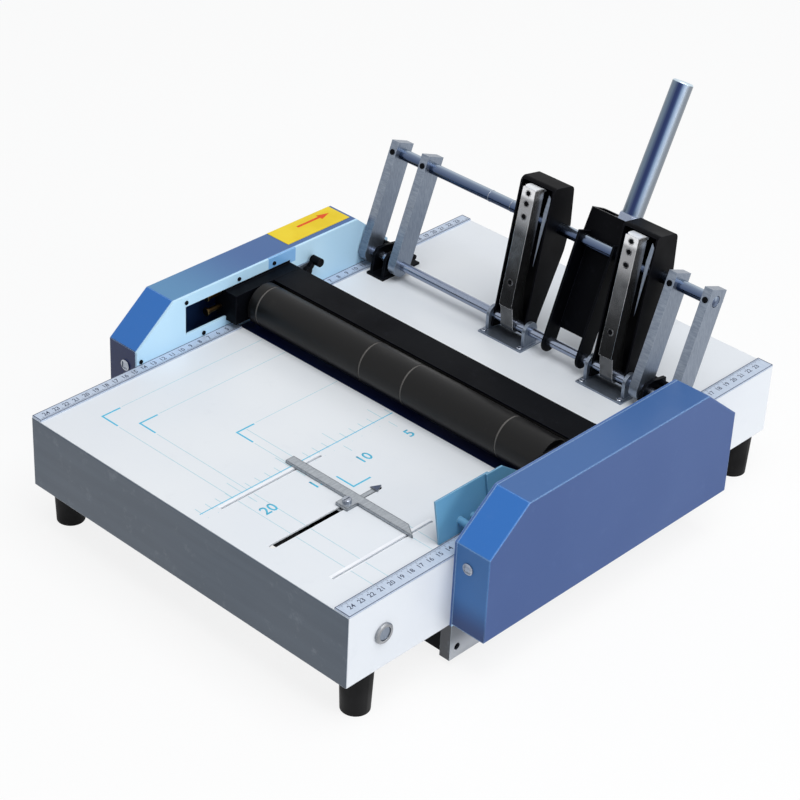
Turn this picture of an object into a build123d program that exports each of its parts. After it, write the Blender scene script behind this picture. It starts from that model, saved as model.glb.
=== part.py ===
from build123d import *
import math
import os

os.makedirs("parts", exist_ok=True)

# Table-top saddle stapler with fold rollers. Millimetres, +Z up, front towards -Y.
# While modelling, y = 0 is the fold line and z = 0 the table top. The export shift then puts
# the origin at the middle of the footprint, under the feet.

# Fits between pieces
run_fit = 0.05
slide_gap = 0.3
bolt_gap = 0.1

# Tables
front_reach = 250.5
rear_reach = 244.0
apron_height = 62.0
table_sheet = 1.5
table_corner = 1.2
table_opening = 37.0
end_flange = 14.0
foot_tab_width = 27.0
foot_tab_length = 40.0

# Paper stop on the front table
stop_slot_x = 75.6
stop_slot_width = 5.0
stop_slot_rear = 118.0
stop_slot_front = 232.5
stop_guide_offsets = (-59.6, 57.0)
stop_guide_width = 2.4
stop_guide_rear = 122.0
stop_guide_front = 225.6
stop_bar_rear = 140.5
stop_bar_width = 8.5
stop_bar_height = 2.4
stop_bar_left = 70.8
stop_bar_right = 62.4
stop_bar_cut = 12.0
stop_tongue = 19.0
stop_pointer_length = 8.0
stop_pointer_width = 8.0
stop_pointer_height = 1.0
stop_foot_size = 11.0
stop_foot_height = 2.5
stop_screw_ahead = 9.4
stop_boss_size = 12.0
stop_screw_radius = 1.6
stop_screw_head = 3.6
stop_screw_height = 3.5
stop_screw_chamfer = 0.4
stop_screw_slot = 1.0

# Bed plate under the rollers
bed_depth = 5.0
bed_thickness = 4.0

# Side plates and covers
plate_thickness = 2.0
cover_front = 142.8
cover_rear = 145.3
cover_shoulder = 13.6
cover_top = 45.6
cover_top_front = 103.1
cover_top_rear = 106.5
cover_bottom = 60.5
cover_width = 31.8
cover_wall = 1.2
cover_edge = 0.8
plate_bottom = 95.0
lower_flange = 8.0
lower_flange_sheet = 1.5
lower_hole_radius = 3.0
lower_hole_inset = 7.9
lower_hole_drop = 85.2
window_rear = 26.5
window_low = 10.0
window_high = 36.0
window_front_gap = 0.4
cover_screw_reach = 12.2
cover_tab_width = 20.0
cover_tab_height = 11.0
cover_tab_sheet = 2.0
cover_screw_front_z = -3.5
cover_screw_rear_z = -35.0

# Fasteners
screw_radius = 1.5
screw_head_radius = 2.2
screw_head_height = 1.4
screw_length = 2.8
cover_screw_radius = 1.6
cover_screw_head = 4.8
cover_screw_head_height = 1.8
cover_screw_length = 8.0
plate_screw_places = ((-138.9, 4.2), (-89.8, 39.8), (-71.2, 4.2), (-31.9, 39.8), (7.9, 39.8))

# Right paper guide
guide_inset = 17.9
guide_sheet = 1.6
guide_lean = 10.2
guide_front = 141.0
guide_rear = 84.0
guide_height = 35.5
guide_screw_y = -117.8
guide_screw_z = 10.5
guide_spacer_y = -104.0
guide_spacer_z = 8.0
guide_spacer_radius = 3.0
guide_screw_head = 3.4
guide_screw_head_height = 2.2

# Ruler strips
ruler_thickness = 1.5
left_ruler_width = 10.3
right_ruler_width = 15.0
ruler_end_gap = 1.0
right_ruler_short = 8.0

# Feet, pan and cross bars
foot_side_inset = 13.3
foot_front_inset = 24.5
foot_rear_inset = 20.0
foot_height = 38.0
foot_top_radius = 13.0
foot_bottom_radius = 11.5
pan_bottom = 92.0
pan_top = 64.0
pan_wall = 1.2
cross_bar_radius = 6.0
cross_bar_y = 100.0
cross_bar_drop = 45.0

# Direction label on the left cover
label_thickness = 0.3
label_width = 26.0
label_front = 31.0
label_rear = 104.0
label_inset = 5.2

# Fold rollers
front_roller_radius = 18.2
rear_roller_radius = 11.9
roller_half_length = 157.5
nip_gap = 0.4
roller_height = 18.5
roller_shaft_radius = 4.0
roller_shaft_end_gap = 0.4
ring_places = (9.5, 127.5, 173.1, 272.5)
ring_width = 1.6
ring_depth = 0.5
gear_width = 6.0
gear_clear = 1.2
front_gear_teeth = 37
rear_gear_teeth = 24
drive_gear_teeth = 30
pressure_angle = 20.0
gear_backlash = 0.16
addendum_share = 0.9
dedendum_share = 1.2

# Roller carriage
carriage_front = 46.5
carriage_rear = 26.0
roller_end_gap = 3.5
block_width = 12.0
block_bottom = 6.8
block_top = 34.0
sliding_guide_front = 88.0
sliding_guide_top_end = 70.5
sliding_guide_end = 4.5
sliding_guide_low = 15.5
sliding_guide_gap = 0.4
sliding_guide_web = 7.5
sliding_guide_tab = 8.0
sliding_guide_tab_top = 26.0
bush_radius = 7.0
guard_sheet = 1.5
guard_front = -4.0
guard_top = 33.7
guard_wall_bottom = 7.0
nip_screw_radius = 2.4
nip_screw_head = 3.6
nip_screw_length = 14.0
nip_screw_low = 17.0
nip_screw_high = 30.5
latch_bracket_length = 23.0
latch_bracket_low = 14.0
latch_bracket_high = 27.0
latch_bracket_sheet = 1.6
latch_y = 42.7
latch_z = 20.5
latch_hub = 4.2
latch_pin_radius = 2.0
latch_thickness = 4.0
latch_reach = 11.6
latch_knob_radius = 3.8
latch_knob_length = 10.0

# Lever frame
pivot_y = 118.0
pivot_z = 14.0
pivot_radius = 4.0
pivot_overhang = 1.0
lever_lean = 21.1
lever_turn = 100.0
bar_width = 20.0
bar_thickness = 8.0
outer_bar_gap = 1.3
bar_pair_gap = 27.0
rod_reach = 89.0
rod_radius = 5.0
rod_end_gap = 1.5
rod_chamfer = 0.6
bar_end = 10.0
set_screw_radius = 2.5
set_screw_proud = 0.5
arm_head_gap = 11.0
arm_width = 38.0
arm_sheet = 2.0
arm_web_behind = 6.5
arm_front = 9.0
arm_end = 97.0
arm_web_start = 13.0
handle_lean = 25.5
handle_rise = 31.5
handle_setback = 17.5
handle_inset = 18.5
handle_radius = 8.75
handle_wall = 2.0
handle_length = 113.0
handle_end_fillet = 1.8
handle_depth = 16.0
collar_height = 6.0
collar_flat = 20.0
collar_chamfer = 0.8
lever_block_gap = 3.0
lever_block_width = 52.0
lever_block_depth = 19.5
lever_block_height = 24.0
lever_block_fillet = 2.0
lever_block_clear = 10.0
pocket_wall = 3.0

# Stapler heads
head_spacing = 106.4
right_head_inset = 26.5
head_lean = 10.8
head_width = 35.0
head_wall = 1.6
head_front = 3.9
head_top = 124.2
head_rear = 28.4
head_shoulder = 22.2
head_foot = 10.0
head_foot_rear = 9.0
head_waist = 11.0
head_waist_height = 8.0
head_back_slope = 1.5
head_back_drop = 22.0
head_cut = 20.0
head_fillet = 5.0
magazine_width = 13.0
magazine_front = 13.6
magazine_depth = 12.0
magazine_start = 16.0
magazine_end = 120.0
magazine_boss = 6.5
magazine_cheek = 34.0
magazine_chamfer = 2.0
magazine_step = 2.0
magazine_holes = (38.0, 96.0, 107.0, 116.0)
magazine_hole_radius = 1.3
magazine_hole_depth = 3.0
head_top_wall = 2.2

# Supports of the lever frame on the rear table
bracket_inner_gap = 1.5
bracket_outer_gap = 6.2
bracket_front = 104.0
bracket_rear = 150.0
bracket_base = 2.0
bracket_sheet = 3.0
bracket_inset = 1.5
bracket_ear = 9.0
bracket_front_slope = 3.0
bracket_pin_wall = 2.0
bracket_pin_top = 1.0
bracket_rear_slope = 5.0
stop_pin_radius = 2.5
stop_pin_height = 8.0
stop_pin_overhang = 0.6
base_half_width = 23.5
base_front = 103.5
base_rear = 130.0
base_sheet = 1.5
base_lug = 3.0
base_lug_gap = 0.6
base_lug_radius = 8.0

# Left gear train: the lever draws the roller carriage forward
lever_gear_module = 1.0
lever_pinion_teeth = 25
idler_small_teeth = 18
idler_large_teeth = 36
pinion_clear = 2.7
idler_step = 2.0
idler_stud_radius = 3.0
idler_stud_overhang = 1.0
rack_back = 4.0
rack_rear = 45.0
rack_arm_front = 4.0
rack_arm_rear = 24.0
rack_arm_top = 30.0

# Roller drive in the right cover
gearbox_gap = 1.5
gearbox_width = 20.0
gearbox_front = 27.0
gearbox_rear = 63.0
gearbox_low = -6.0
gearbox_high = 42.5
gearbox_post = 2.0
gearbox_post_inset = 3.6
drive_shaft_radius = 3.0
drive_shaft_depth = 9.0
motor_radius = 9.5
motor_length = 42.0
board_front = 132.0
board_rear = 84.0
board_low = -52.0
board_high = -8.0
board_gap = 4.7
board_sheet = 1.6
board_post = 2.0
board_post_inset = 4.0
relay_inset = 6.0
relay_length = 18.0
relay_width = 14.0
relay_height = 9.0
terminal_inset = 6.0
terminal_low = 8.0
terminal_length = 12.0
terminal_width = 22.0
terminal_height = 6.0
capacitor_radius = 4.0
capacitor_height = 11.0
capacitor_inset = 27.0
capacitor_drop = 8.0

# Fold knife under the bed and its lift
knife_thickness = 1.2
knife_end_inset = 23.3
knife_rest = 5.5
knife_web_top = 25.0
knife_bottom = 40.0
knife_lift = 14.0
knife_notch = 22.0
knife_gap = 0.3
knife_in_bracket = 16.0
knife_bracket_end = 6.0
knife_bracket_depth = 7.0
knife_bracket_low = 46.0
rocker_y = 30.0
rocker_shaft_radius = 4.0
rocker_arm_x = 60.0
rocker_arm_width = 8.0
rocker_arm_root = 5.5
rocker_tip_radius = 3.0
rocker_tail = 20.0
rocker_tail_inner = 8.0
rocker_tail_sheet = 3.0
rocker_pin_radius = 2.0
rocker_bearing_sheet = 6.0
rocker_bearing_wall = 2.0
plunger_radius = 5.0
plunger_head_width = 14.0
plunger_head_depth = 14.0
plunger_head_height = 12.0
plunger_slot_play = 0.5
plunger_slot_depth = 8.0
coil_width = 28.0
coil_floor = 2.0
coil_top = 54.0

# Staple anvils
anvil_length = 26.0
anvil_depth = 9.0
anvil_height = 4.4
anvil_groove_radius = 1.2
anvil_groove_proud = 0.4
staple_leg_x = 4.3

# Start button on the right apron
button_y = -214.5
button_z = -30.7
bezel_radius = 8.5
bezel_height = 2.5
bezel_chamfer = 0.8
bezel_sleeve = 7.0
bezel_sleeve_length = 14.0
button_radius = 5.4
button_recess = 0.8
button_travel = 3.0
button_stem_radius = 3.0
button_rear_wall = 1.5
button_cap_height = 5.0
button_stem_overhang = 1.0

# Power inlet in the rear apron
inlet_inset = 53.3
inlet_z = -31.0
inlet_width = 22.0
inlet_height = 14.0
inlet_depth = 14.0
inlet_flange = 3.0
inlet_recess = 8.0
inlet_wall = 2.5

# Places worked out from the sizes above
block_inner = roller_half_length + roller_end_gap
half_width = block_inner + block_width + slide_gap
plate_inner = half_width
plate_outer = half_width + plate_thickness
cover_outer = plate_outer + cover_width
guide_x = half_width - guide_inset
foot_x = half_width - foot_side_inset
inlet_x = half_width - inlet_inset
outer_bar_x = half_width - outer_bar_gap - bar_thickness
inner_bar_x = outer_bar_x - bar_pair_gap - bar_thickness
rod_half_length = half_width - rod_end_gap
right_head_x = inner_bar_x - right_head_inset
left_head_x = right_head_x - head_spacing
arm_right = right_head_x - head_width / 2 - arm_head_gap
arm_left = arm_right - arm_width
lever_block_right = right_head_x - head_width / 2 - lever_block_gap
lever_block_left = lever_block_right - lever_block_width
handle_x = lever_block_right - handle_inset
bracket_left = inner_bar_x + bar_thickness + bracket_inner_gap
bracket_right = outer_bar_x - bracket_outer_gap
stop_pin_left = inner_bar_x
stop_pin_right = outer_bar_x + bar_thickness + stop_pin_overhang
knife_half_length = half_width - knife_end_inset
knife_bracket_inner = knife_half_length - knife_in_bracket
knife_bracket_outer = knife_half_length + knife_bracket_end
roller_centres = front_roller_radius + rear_roller_radius + nip_gap
front_roller_y = -front_roller_radius - nip_gap / 2
rear_roller_y = rear_roller_radius + nip_gap / 2
roller_module = 2 * roller_centres / (front_gear_teeth + rear_gear_teeth)
drive_gear_y = rear_roller_y + roller_module * (rear_gear_teeth + drive_gear_teeth) / 2
roller_gear_x = plate_outer + gear_clear
pinion_pitch_radius = lever_gear_module * lever_pinion_teeth / 2
idler_small_radius = lever_gear_module * idler_small_teeth / 2
idler_large_radius = lever_gear_module * idler_large_teeth / 2
idler_y = pivot_y - pinion_pitch_radius - idler_small_radius
carriage_per_radian = pinion_pitch_radius * idler_large_radius / idler_small_radius
carriage_travel = carriage_per_radian * math.radians(lever_turn)
window_front = carriage_front + carriage_travel + window_front_gap
rack_pitch_z = pivot_z - idler_large_radius
pinion_x = plate_outer + pinion_clear
idler_large_x = pinion_x + gear_width + idler_step
left_tongue_reach = idler_large_x - plate_outer
bed_top = -bed_depth
bed_bottom = -bed_depth - bed_thickness
foot_bottom = -apron_height - foot_height
rocker_arm_length = rocker_y
rocker_angle = math.degrees(math.asin(knife_lift / 2 / rocker_arm_length))
rocker_z = -knife_bottom - slide_gap - rocker_tip_radius + knife_lift / 2
plunger_travel = 2 * rocker_tail * math.sin(math.radians(rocker_angle))
pan_floor = pan_wall - pan_bottom
cover_screw_x = plate_outer + cover_screw_reach
stop_bar_centre_y = -stop_bar_rear - stop_bar_width / 2
stop_screw_y = stop_bar_centre_y - stop_screw_ahead

# The pieces of the lever frame are drawn upright: x across, y behind and z up from the shaft.
lever_place = Location((0, pivot_y, pivot_z), (-lever_lean, 0, 0))
head_place = Location((0, pivot_y, pivot_z), (-head_lean, 0, 0))
handle_base = Location((0, handle_setback, rod_reach + handle_rise), (lever_lean - handle_lean, 0, 0))
handle_place = lever_place * handle_base
export_shift = Pos(0, (front_reach - rear_reach) / 2, -foot_bottom)


def block(x_span, y_span, z_span):
    centre = Pos(sum(x_span) / 2, sum(y_span) / 2, sum(z_span) / 2)
    return centre * Box(x_span[1] - x_span[0], y_span[1] - y_span[0], z_span[1] - z_span[0])


def sided(side, near, far):
    """Span along X from near to far on the right (side 1) or the left (side -1)."""
    return tuple(sorted((side * near, side * far)))


def rod_x(radius, x_span, y, z):
    return Pos(sum(x_span) / 2, y, z) * Rot(0, 90, 0) * Cylinder(radius, x_span[1] - x_span[0])


def rod_y(radius, x, y_span, z):
    return Pos(x, sum(y_span) / 2, z) * Rot(90, 0, 0) * Cylinder(radius, y_span[1] - y_span[0])


def rod_z(radius, x, y, z_span):
    return Pos(x, y, sum(z_span) / 2) * Cylinder(radius, z_span[1] - z_span[0])


def side_outline(points, x_span):
    """Solid between two X places from an outline in (y, z)."""
    face = make_face(Plane.YZ.offset(x_span[0]) * Polyline(*points, close=True))
    return extrude(face, amount=x_span[1] - x_span[0], dir=(1, 0, 0))


def save(shape, name):
    export_step(export_shift * shape, f"parts/{name}.step")


def save_set(shapes, name):
    save(Compound([shape.solid() for shape in shapes]), name)


# Tables

def table_tray(front, y_near, y_far):
    """Open tray: top sheet, three aprons, a short flange at the fold line and two foot tabs."""
    tray = block((-half_width, half_width), tuple(sorted((y_near, y_far))), (-apron_height, 0))
    outward = -1 if front else 1
    outer_edges = tray.edges().filter_by(lambda e: abs(e.center().Y - y_far) < 0.01)
    outer_edges = outer_edges.filter_by(lambda e: e.center().Z > -apron_height + 1)
    tray = fillet(outer_edges, table_corner)
    inner_x = (table_sheet - half_width, half_width - table_sheet)
    inner_far = y_far - outward * table_sheet
    inner_near = y_near + outward * table_sheet
    hollow = block(inner_x, tuple(sorted((inner_near, inner_far))), (-apron_height - 1, -table_sheet))
    under_flange = block(inner_x, tuple(sorted((y_near - outward, inner_near + outward))),
                         (-apron_height - 1, -end_flange))
    tray = tray - hollow - under_flange
    for side in (-1, 1):
        tab_x = sided(side, half_width - table_sheet - foot_tab_width, half_width - table_sheet)
        tab_y = tuple(sorted((inner_far, inner_far - outward * foot_tab_length)))
        tray += block(tab_x, tab_y, (-apron_height, table_sheet - apron_height))
    return tray


def slot_through(x, width, y_front, y_rear, sheet_z):
    """Round-ended slot along Y through a sheet."""
    radius = width / 2
    slot = block((x - radius, x + radius), (y_front + radius, y_rear - radius), sheet_z)
    for y in (y_front + radius, y_rear - radius):
        slot += rod_z(radius, x, y, sheet_z)
    return slot


def front_table():
    tray = table_tray(True, -table_opening, -front_reach)
    cut_z = (-table_sheet - 1, 1)
    tray -= slot_through(stop_slot_x, stop_slot_width, -stop_slot_front, -stop_slot_rear, cut_z)
    for offset in stop_guide_offsets:
        guide_slot_x = stop_slot_x + offset
        tray -= slot_through(guide_slot_x, stop_guide_width, -stop_guide_front, -stop_guide_rear, cut_z)
    hole_x = (half_width - table_sheet - 1, half_width + 1)
    return tray - rod_x(bezel_sleeve + bolt_gap, hole_x, button_y, button_z)


def rear_table():
    tray = table_tray(False, table_opening, rear_reach)
    opening = block((inlet_x - inlet_width / 2, inlet_x + inlet_width / 2),
                    (rear_reach - table_sheet - 1, rear_reach + 1),
                    (inlet_z - inlet_height / 2, inlet_z + inlet_height / 2))
    return tray - opening


def knife_fingers():
    """X spans of the knife's fingers, left clear around each stapler head."""
    return ((-knife_half_length, left_head_x - knife_notch),
            (left_head_x + knife_notch, right_head_x - knife_notch),
            (right_head_x + knife_notch, knife_half_length))


def bed_plate():
    bed = block((-half_width, half_width), (-table_opening, table_opening), (bed_bottom, bed_top))
    slot_half = knife_thickness / 2 + knife_gap
    for left, right in knife_fingers():
        slot_z = (bed_bottom - 1, bed_top + 1)
        bed -= block((left - knife_gap, right + knife_gap), (-slot_half, slot_half), slot_z)
    return bed


def table_rulers():
    edge = half_width
    left_x = (-edge, -edge + left_ruler_width)
    right_x = (edge - right_ruler_width, edge)
    front_y = (-front_reach + ruler_end_gap, -table_opening - ruler_end_gap)
    right_front_y = (front_y[0], front_y[1] - right_ruler_short)
    rear_y = (table_opening + ruler_end_gap, rear_reach - ruler_end_gap)
    thickness = (0, ruler_thickness)
    return [block(left_x, front_y, thickness), block(right_x, right_front_y, thickness),
            block(left_x, rear_y, thickness), block(right_x, rear_y, thickness)]


# Side plates and covers

def cover_outline(bottom):
    return ((-cover_front, -bottom), (-cover_front, cover_shoulder), (-cover_top_front, cover_top),
            (cover_top_rear, cover_top), (cover_rear, cover_shoulder), (cover_rear, -bottom))


def cover_screw_spots():
    """Wall face in y, outward direction and height of the screws of one cover."""
    return ((-cover_front, -1, cover_screw_front_z), (cover_rear, 1, cover_screw_rear_z))


def plate_holes(side):
    """Everything that is cut through a side plate."""
    through = sided(side, plate_inner - 1, plate_outer + 1)
    cuts = [block(through, (-window_front, window_rear), (window_low, window_high))]
    cuts.append(rod_x(pivot_radius + run_fit, through, pivot_y, pivot_z))
    for y in (-cover_front + lower_hole_inset, cover_rear - lower_hole_inset):
        cuts.append(rod_x(lower_hole_radius, through, y, -lower_hole_drop))
    for y, z in plate_screw_places:
        cuts.append(rod_x(screw_radius + bolt_gap, through, y, z))
    return cuts


def side_plate(side):
    plate = side_outline(cover_outline(plate_bottom), sided(side, plate_inner, plate_outer))
    plate -= plate_holes(side)
    flange_x = sided(side, plate_inner - lower_flange, plate_inner)
    flange_z = (-plate_bottom, -apron_height - slide_gap)
    plate += block(flange_x, (-cover_front, -cover_front + lower_flange_sheet), flange_z)
    plate += block(flange_x, (cover_rear - lower_flange_sheet, cover_rear), flange_z)
    for wall_y, outward, screw_z in cover_screw_spots():
        face_y = wall_y - outward * cover_wall
        tab_y = tuple(sorted((face_y, face_y - outward * cover_tab_sheet)))
        tab_z = (screw_z - cover_tab_height / 2, screw_z + cover_tab_height / 2)
        tab = block(sided(side, plate_outer, plate_outer + cover_tab_width), tab_y, tab_z)
        hole_y = (tab_y[0] - 1, tab_y[1] + 1)
        plate += tab - rod_y(cover_screw_radius + bolt_gap, side * cover_screw_x, hole_y, screw_z)
    return plate


def left_side_plate():
    stud_end = idler_large_x + gear_width + idler_stud_overhang
    return side_plate(-1) + rod_x(idler_stud_radius, (-stud_end, -plate_outer), idler_y, pivot_z)


def cover(side):
    """Sheet shell, open towards the machine."""
    outer_face = make_face(Plane.YZ * Polyline(*cover_outline(cover_bottom), close=True))
    inner_face = offset(outer_face, amount=-cover_wall, kind=Kind.INTERSECTION)
    shell = Pos(plate_outer, 0, 0) * extrude(outer_face, amount=cover_width, dir=(1, 0, 0))
    side_edges = shell.edges().filter_by(lambda e: abs(e.center().X - cover_outer) < 0.01)
    shell = fillet(side_edges, cover_edge)
    hollow = extrude(inner_face, amount=cover_width + 1 - cover_wall, dir=(1, 0, 0))
    shell -= Pos(plate_outer - 1, 0, 0) * hollow
    for wall_y, outward, screw_z in cover_screw_spots():
        hole_y = tuple(sorted((wall_y + outward, wall_y - outward * (cover_wall + 1))))
        shell -= rod_y(cover_screw_radius + slide_gap, cover_screw_x, hole_y, screw_z)
    return shell if side > 0 else mirror(shell, Plane.YZ)


def chassis_screws():
    screws = []
    for side in (-1, 1):
        for wall_y, outward, screw_z in cover_screw_spots():
            head_y = tuple(sorted((wall_y, wall_y + outward * cover_screw_head_height)))
            shank_y = tuple(sorted((wall_y, wall_y - outward * cover_screw_length)))
            x = side * cover_screw_x
            head = rod_y(cover_screw_head, x, head_y, screw_z)
            screws.append(head + rod_y(cover_screw_radius, x, shank_y, screw_z))
        for y, z in plate_screw_places:
            head = rod_x(screw_head_radius, sided(side, plate_inner - screw_head_height, plate_inner), y, z)
            shank_x = sided(side, plate_inner, plate_inner + screw_length)
            screws.append(head + rod_x(screw_radius, shank_x, y, z))
    screws.append(guide_place() * guide_screw())
    return screws


def guide_place():
    return Location((guide_x, 0, 0), (0, -guide_lean, 0))


def guide_screw():
    head = rod_x(guide_screw_head, (-guide_screw_head_height, 0), guide_screw_y, guide_screw_z)
    return head + rod_x(screw_radius, (0, guide_sheet + screw_length), guide_screw_y, guide_screw_z)


def right_paper_guide():
    """Leaning guide plate on two spacers from the right side plate."""
    outline = ((-guide_front, slide_gap), (-guide_rear, slide_gap),
               (-guide_rear, guide_height), (-guide_front, guide_height))
    plate = guide_place() * side_outline(outline, (0, guide_sheet))
    guide = plate
    for y, z in ((guide_screw_y, guide_screw_z), (guide_spacer_y, guide_spacer_z)):
        sheet_x = guide_x + guide_sheet / 2 - z * math.tan(math.radians(guide_lean))
        guide += rod_x(guide_spacer_radius, (sheet_x, plate_inner), y, z)
    hole_x = (-1, guide_sheet + screw_length + 1)
    hole = rod_x(screw_radius + bolt_gap, hole_x, guide_screw_y, guide_screw_z)
    return guide - guide_place() * hole


def direction_label():
    right = -plate_outer - label_inset
    label_z = (cover_top, cover_top + label_thickness)
    return block((right - label_width, right), (label_front, label_rear), label_z)


def rubber_feet():
    feet = []
    for side in (-1, 1):
        for y in (foot_front_inset - front_reach, rear_reach - foot_rear_inset):
            foot = Cone(foot_bottom_radius, foot_top_radius, foot_height)
            feet.append(Pos(side * foot_x, y, -apron_height - foot_height / 2) * foot)
    return feet


def cross_bars():
    span = (table_sheet - half_width, half_width - table_sheet)
    return [rod_x(cross_bar_radius, span, y, -cross_bar_drop) for y in (-cross_bar_y, cross_bar_y)]


def bottom_pan():
    front = lower_flange_sheet - cover_front
    rear = cover_rear - lower_flange_sheet
    pan = block((-plate_inner, plate_inner), (front, rear), (-pan_bottom, -pan_top))
    hollow = block((pan_wall - plate_inner, plate_inner - pan_wall), (front + pan_wall, rear - pan_wall),
                   (pan_floor, -pan_top + 1))
    return pan - hollow


# Supports of the lever frame

def pivot_bracket(side):
    """Base, two ears with the shaft bore and the pin that the lever bars lean on."""
    base_x = sided(side, bracket_left, bracket_right)
    bracket = block(base_x, (bracket_front, bracket_rear), (0, bracket_base))
    pin_offset = bar_width / 2 + stop_pin_radius + slide_gap
    pin_spot = lever_place * Pos(0, pin_offset, stop_pin_height)
    pin_y = pin_spot.position.Y
    pin_z = pin_spot.position.Z
    ear_top = pivot_z + bracket_ear / 2
    pin_rear = pin_y + stop_pin_radius
    outline = ((pivot_y - bracket_ear - bracket_front_slope, 0),
               (pivot_y - bracket_ear, ear_top),
               (pivot_y - bracket_ear / 2, pivot_z + bracket_ear),
               (pivot_y + bracket_ear / 2, pivot_z + bracket_ear),
               (pin_rear + bracket_pin_wall, pin_z + stop_pin_radius + bracket_pin_top),
               (pin_rear + bracket_rear_slope, 0))
    for near in (bracket_left + bracket_inset, bracket_right - bracket_inset - bracket_sheet):
        bracket += side_outline(outline, sided(side, near, near + bracket_sheet))
    bore_x = sided(side, bracket_left - 1, bracket_right + 1)
    bracket -= rod_x(pivot_radius + run_fit, bore_x, pivot_y, pivot_z)
    return bracket + rod_x(stop_pin_radius, sided(side, stop_pin_left, stop_pin_right), pin_y, pin_z)


def stapler_base(centre):
    base_x = (centre - base_half_width, centre + base_half_width)
    base = block(base_x, (base_front, base_rear), (0, base_sheet))
    near = head_width / 2 + base_lug_gap
    for side in (-1, 1):
        lug_x = tuple(sorted((centre + side * near, centre + side * (near + base_lug))))
        base += block(lug_x, (pivot_y - base_lug_radius, pivot_y + base_lug_radius), (0, pivot_z))
        base += rod_x(base_lug_radius, lug_x, pivot_y, pivot_z)
    bore_x = (centre - base_half_width - 1, centre + base_half_width + 1)
    return base - rod_x(pivot_radius + run_fit, bore_x, pivot_y, pivot_z)


def staple_anvil(centre):
    anvil_x = (centre - anvil_length / 2, centre + anvil_length / 2)
    anvil = block(anvil_x, (-anvil_depth / 2, anvil_depth / 2),
                  (bed_top, bed_top + anvil_height))
    for side in (-1, 1):
        x = centre + side * staple_leg_x
        groove_z = bed_top + anvil_height + anvil_groove_proud
        anvil -= rod_y(anvil_groove_radius, x, (-anvil_depth, anvil_depth), groove_z)
    return anvil


# Gears

def involute(angle):
    return math.tan(angle) - angle


def flank_angle(radius, pitch_radius, tooth_thickness):
    """Half of the angle that a tooth covers at a radius."""
    pressure = math.radians(pressure_angle)
    base_radius = pitch_radius * math.cos(pressure)
    at_radius = involute(math.acos(base_radius / radius)) if radius > base_radius else 0
    return tooth_thickness / (2 * pitch_radius) + involute(pressure) - at_radius


def gear(teeth, module, width, first_tooth):
    """Spur gear from x = 0 along +X, with one tooth pointing first_tooth degrees above +Y."""
    pitch_radius = teeth * module / 2
    root = pitch_radius - dedendum_share * module
    base = max(root + 0.1 * module, pitch_radius * math.cos(math.radians(pressure_angle)))
    tip = pitch_radius + addendum_share * module
    radii = (root, base, (base + pitch_radius) / 2, pitch_radius, (pitch_radius + tip) / 2, tip)
    thickness = math.pi * module / 2 - gear_backlash
    points = []
    for tooth in range(teeth):
        middle = math.radians(first_tooth) + 2 * math.pi * tooth / teeth
        rising = [(radius, middle - flank_angle(radius, pitch_radius, thickness)) for radius in radii]
        falling = [(radius, 2 * middle - angle) for radius, angle in reversed(rising)]
        for radius, angle in rising + falling:
            points.append((radius * math.cos(angle), radius * math.sin(angle)))
    return side_outline(points, (0, width))


def front_roller_gear():
    wheel = gear(front_gear_teeth, roller_module, gear_width, 0)
    bore = rod_x(roller_shaft_radius, (-1, gear_width + 1), 0, 0)
    return Pos(roller_gear_x, front_roller_y, roller_height) * (wheel - bore)


def rear_roller_gear():
    half_pitch = 180 / rear_gear_teeth
    wheel = gear(rear_gear_teeth, roller_module, gear_width, 180 + half_pitch)
    bore = rod_x(roller_shaft_radius, (-1, gear_width + 1), 0, 0)
    return Pos(roller_gear_x, rear_roller_y, roller_height) * (wheel - bore)


def drive_gear():
    facing_space = 0 if rear_gear_teeth % 2 == 0 else 180 / drive_gear_teeth
    wheel = gear(drive_gear_teeth, roller_module, gear_width, 180 + facing_space)
    wheel += rod_x(drive_shaft_radius, (gear_width, gear_width + gearbox_gap + drive_shaft_depth), 0, 0)
    return Pos(roller_gear_x, drive_gear_y, roller_height) * wheel


def lever_pinion():
    wheel = gear(lever_pinion_teeth, lever_gear_module, gear_width, 180)
    wheel -= rod_x(pivot_radius, (-1, gear_width + 1), 0, 0)
    return Pos(-pinion_x - gear_width, pivot_y, pivot_z) * wheel


def idler_gear():
    small = gear(idler_small_teeth, lever_gear_module, gear_width + idler_step, 180 / idler_small_teeth)
    large = gear(idler_large_teeth, lever_gear_module, gear_width, 270)
    wheel = small + Pos(-gear_width, 0, 0) * large
    wheel -= rod_x(idler_stud_radius + run_fit, (-gear_width - 1, gear_width + idler_step + 1), 0, 0)
    return Pos(-pinion_x - gear_width - idler_step, idler_y, pivot_z) * wheel


def rack_tooth(y):
    tip = rack_pitch_z + addendum_share * lever_gear_module
    root = rack_pitch_z - dedendum_share * lever_gear_module
    half_pitch_width = (math.pi * lever_gear_module / 2 - gear_backlash) / 2
    slope = math.tan(math.radians(pressure_angle))
    top_half = half_pitch_width - (tip - rack_pitch_z) * slope
    root_half = half_pitch_width + (rack_pitch_z - root) * slope
    outline = ((y - root_half, root), (y + root_half, root), (y + top_half, tip), (y - top_half, tip))
    return side_outline(outline, (-idler_large_x - gear_width, -idler_large_x))


def carriage_rack():
    """Toothed bar under the idler, hung on an arm from the left block's tongue."""
    root = rack_pitch_z - dedendum_share * lever_gear_module
    rack_x = (-idler_large_x - gear_width, -idler_large_x)
    rack_end = idler_y + rack_rear
    rack = block(rack_x, (rack_arm_front, rack_end), (root - rack_back, root))
    pitch = math.pi * lever_gear_module
    tooth_y = idler_y + pitch / 2 - 2 * pitch
    while tooth_y < rack_end - pitch / 2:
        rack += rack_tooth(tooth_y)
        tooth_y += pitch
    return rack + block(rack_x, (rack_arm_front, rack_arm_rear), (root - rack_back, rack_arm_top))


# Roller carriage

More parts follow.
